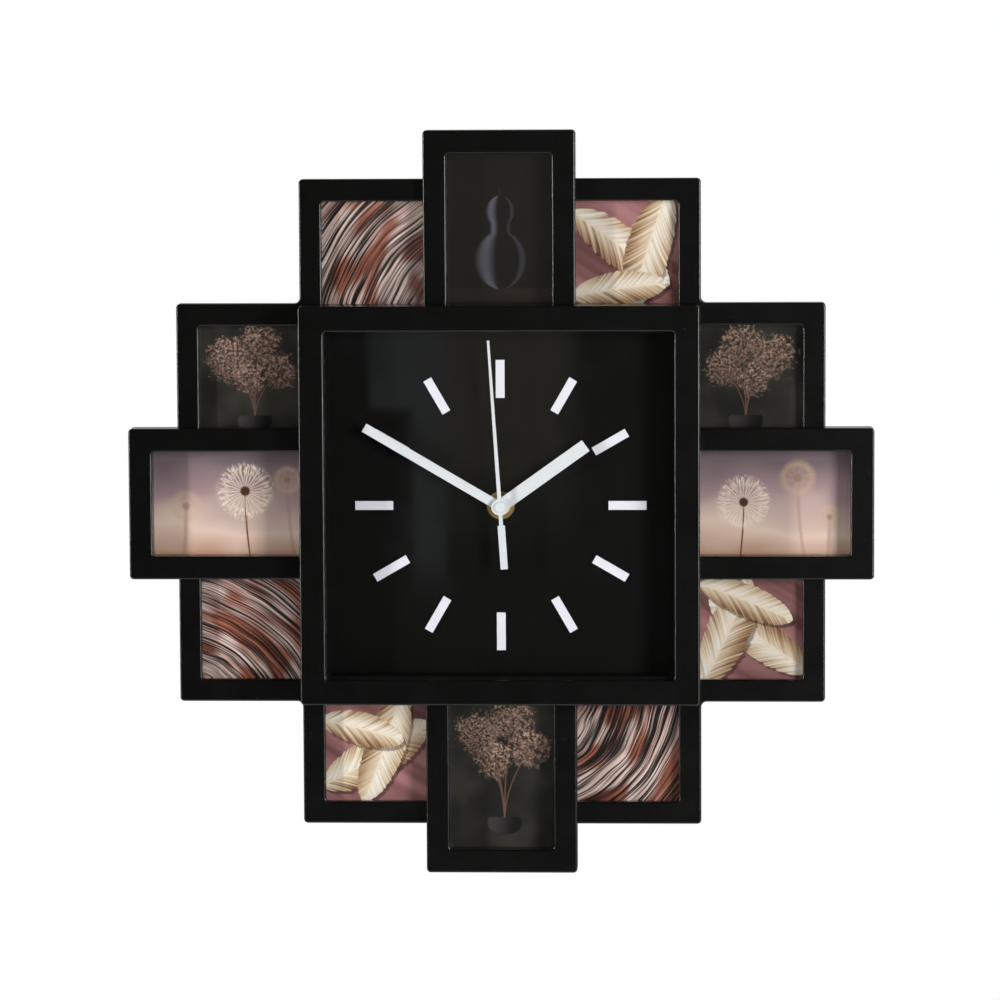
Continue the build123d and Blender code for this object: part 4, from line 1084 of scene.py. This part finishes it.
def make_lamp(name, bearing, width, share):
    """Upright lamp that lights a white surface facing its side of the clock to the given share of white."""
    data = bpy.data.lights.new(name, "AREA")
    data.shape = "RECTANGLE"
    data.size = width
    data.size_y = LAMP_HEIGHT
    flat = cos(radians(LAMP_RISE))
    data.energy = share * pi * pi * LAMP_DISTANCE ** 2 / abs(cos(radians(bearing)) * flat)
    lamp = bpy.data.objects.new(name, data)
    bpy.context.scene.collection.objects.link(lamp)
    towards = Vector((sin(radians(bearing)) * flat, -cos(radians(bearing)) * flat, sin(radians(LAMP_RISE))))
    lamp.location = towards * LAMP_DISTANCE
    lamp.rotation_euler = towards.to_track_quat("Z", "Y").to_euler()
    lamp.visible_camera = False
    return lamp


def make_floor():
    """Plain pale floor that takes shadows and fades to white at its edges."""
    mesh = bpy.data.meshes.new("studio_floor")
    half = FLOOR_HALF
    corners = [(-half, -half, 0), (half, -half, 0), (half, half, 0), (-half, half, 0)]
    mesh.from_pydata(corners, [], [(0, 1, 2, 3)])
    floor = bpy.data.objects.new("studio_floor", mesh)
    floor.location.z = -FLOOR_DROP
    bpy.context.scene.collection.objects.link(floor)
    material, tree, shader = new_material("studio_floor_paint")
    shader.inputs["Roughness"].default_value = 0.8
    seen = rays(tree, "Is Camera Ray", "Is Transmission Ray")
    seen = seen.most(rays(tree, "Is Glossy Ray") * FLOOR_MIRRORED)
    _, (x, y, _) = surface_place(tree)
    edge = abs(x).most(abs(y)).rise(half * FLOOR_FADE[0], half * FLOOR_FADE[1])
    feed(tree, shader.inputs["Base Color"], shaded(tree, FLOOR_COLOUR, -edge + 1.0))
    shader.inputs["Specular IOR Level"].default_value = 0.0
    shader.inputs["Emission Color"].default_value = WHITE
    feed(tree, shader.inputs["Emission Strength"], seen * (edge * (1.0 - FLOOR_GLOW) + FLOOR_GLOW))
    mesh.materials.append(material)


def make_camera():
    """Camera at the photograph's viewing angle."""
    data = bpy.data.cameras.new("camera")
    data.sensor_width = SENSOR
    data.sensor_fit = "HORIZONTAL"
    data.lens = FOCAL_PIXELS / PICTURE_PIXELS * SENSOR
    data.clip_start = NEAREST_SEEN
    camera = bpy.data.objects.new("camera", data)
    bpy.context.scene.collection.objects.link(camera)
    flat = cos(CAMERA_PITCH)
    back = Vector((sin(CAMERA_YAW) * flat, -cos(CAMERA_YAW) * flat, sin(CAMERA_PITCH)))
    right = (-back).cross(Vector((0, 0, 1))).normalized()
    up = right.cross(-back)
    turned_right = right * cos(CAMERA_ROLL) + up * sin(CAMERA_ROLL)
    turned_up = up * cos(CAMERA_ROLL) - right * sin(CAMERA_ROLL)
    turn = Matrix((turned_right, turned_up, back)).transposed()
    camera.matrix_world = Matrix.Translation(CAMERA_PLACE) @ turn.to_4x4()
    bpy.context.scene.camera = camera


def main():
    add_details(paint_parts())
    paint_pictures()
    make_world()
    make_lamp("right_lamp", RIGHT_LAMP_BEARING, RIGHT_LAMP_WIDTH, RIGHT_SHARE)
    make_lamp("left_lamp", LEFT_LAMP_BEARING, LEFT_LAMP_WIDTH, LEFT_SHARE)
    back_lamp = make_lamp("back_lamp", BACK_LAMP_BEARING, BACK_LAMP_WIDTH, BACK_SHARE)
    back_lamp.visible_glossy = False
    make_floor()
    make_camera()
    bpy.context.scene.view_settings.view_transform = "Standard"


main()
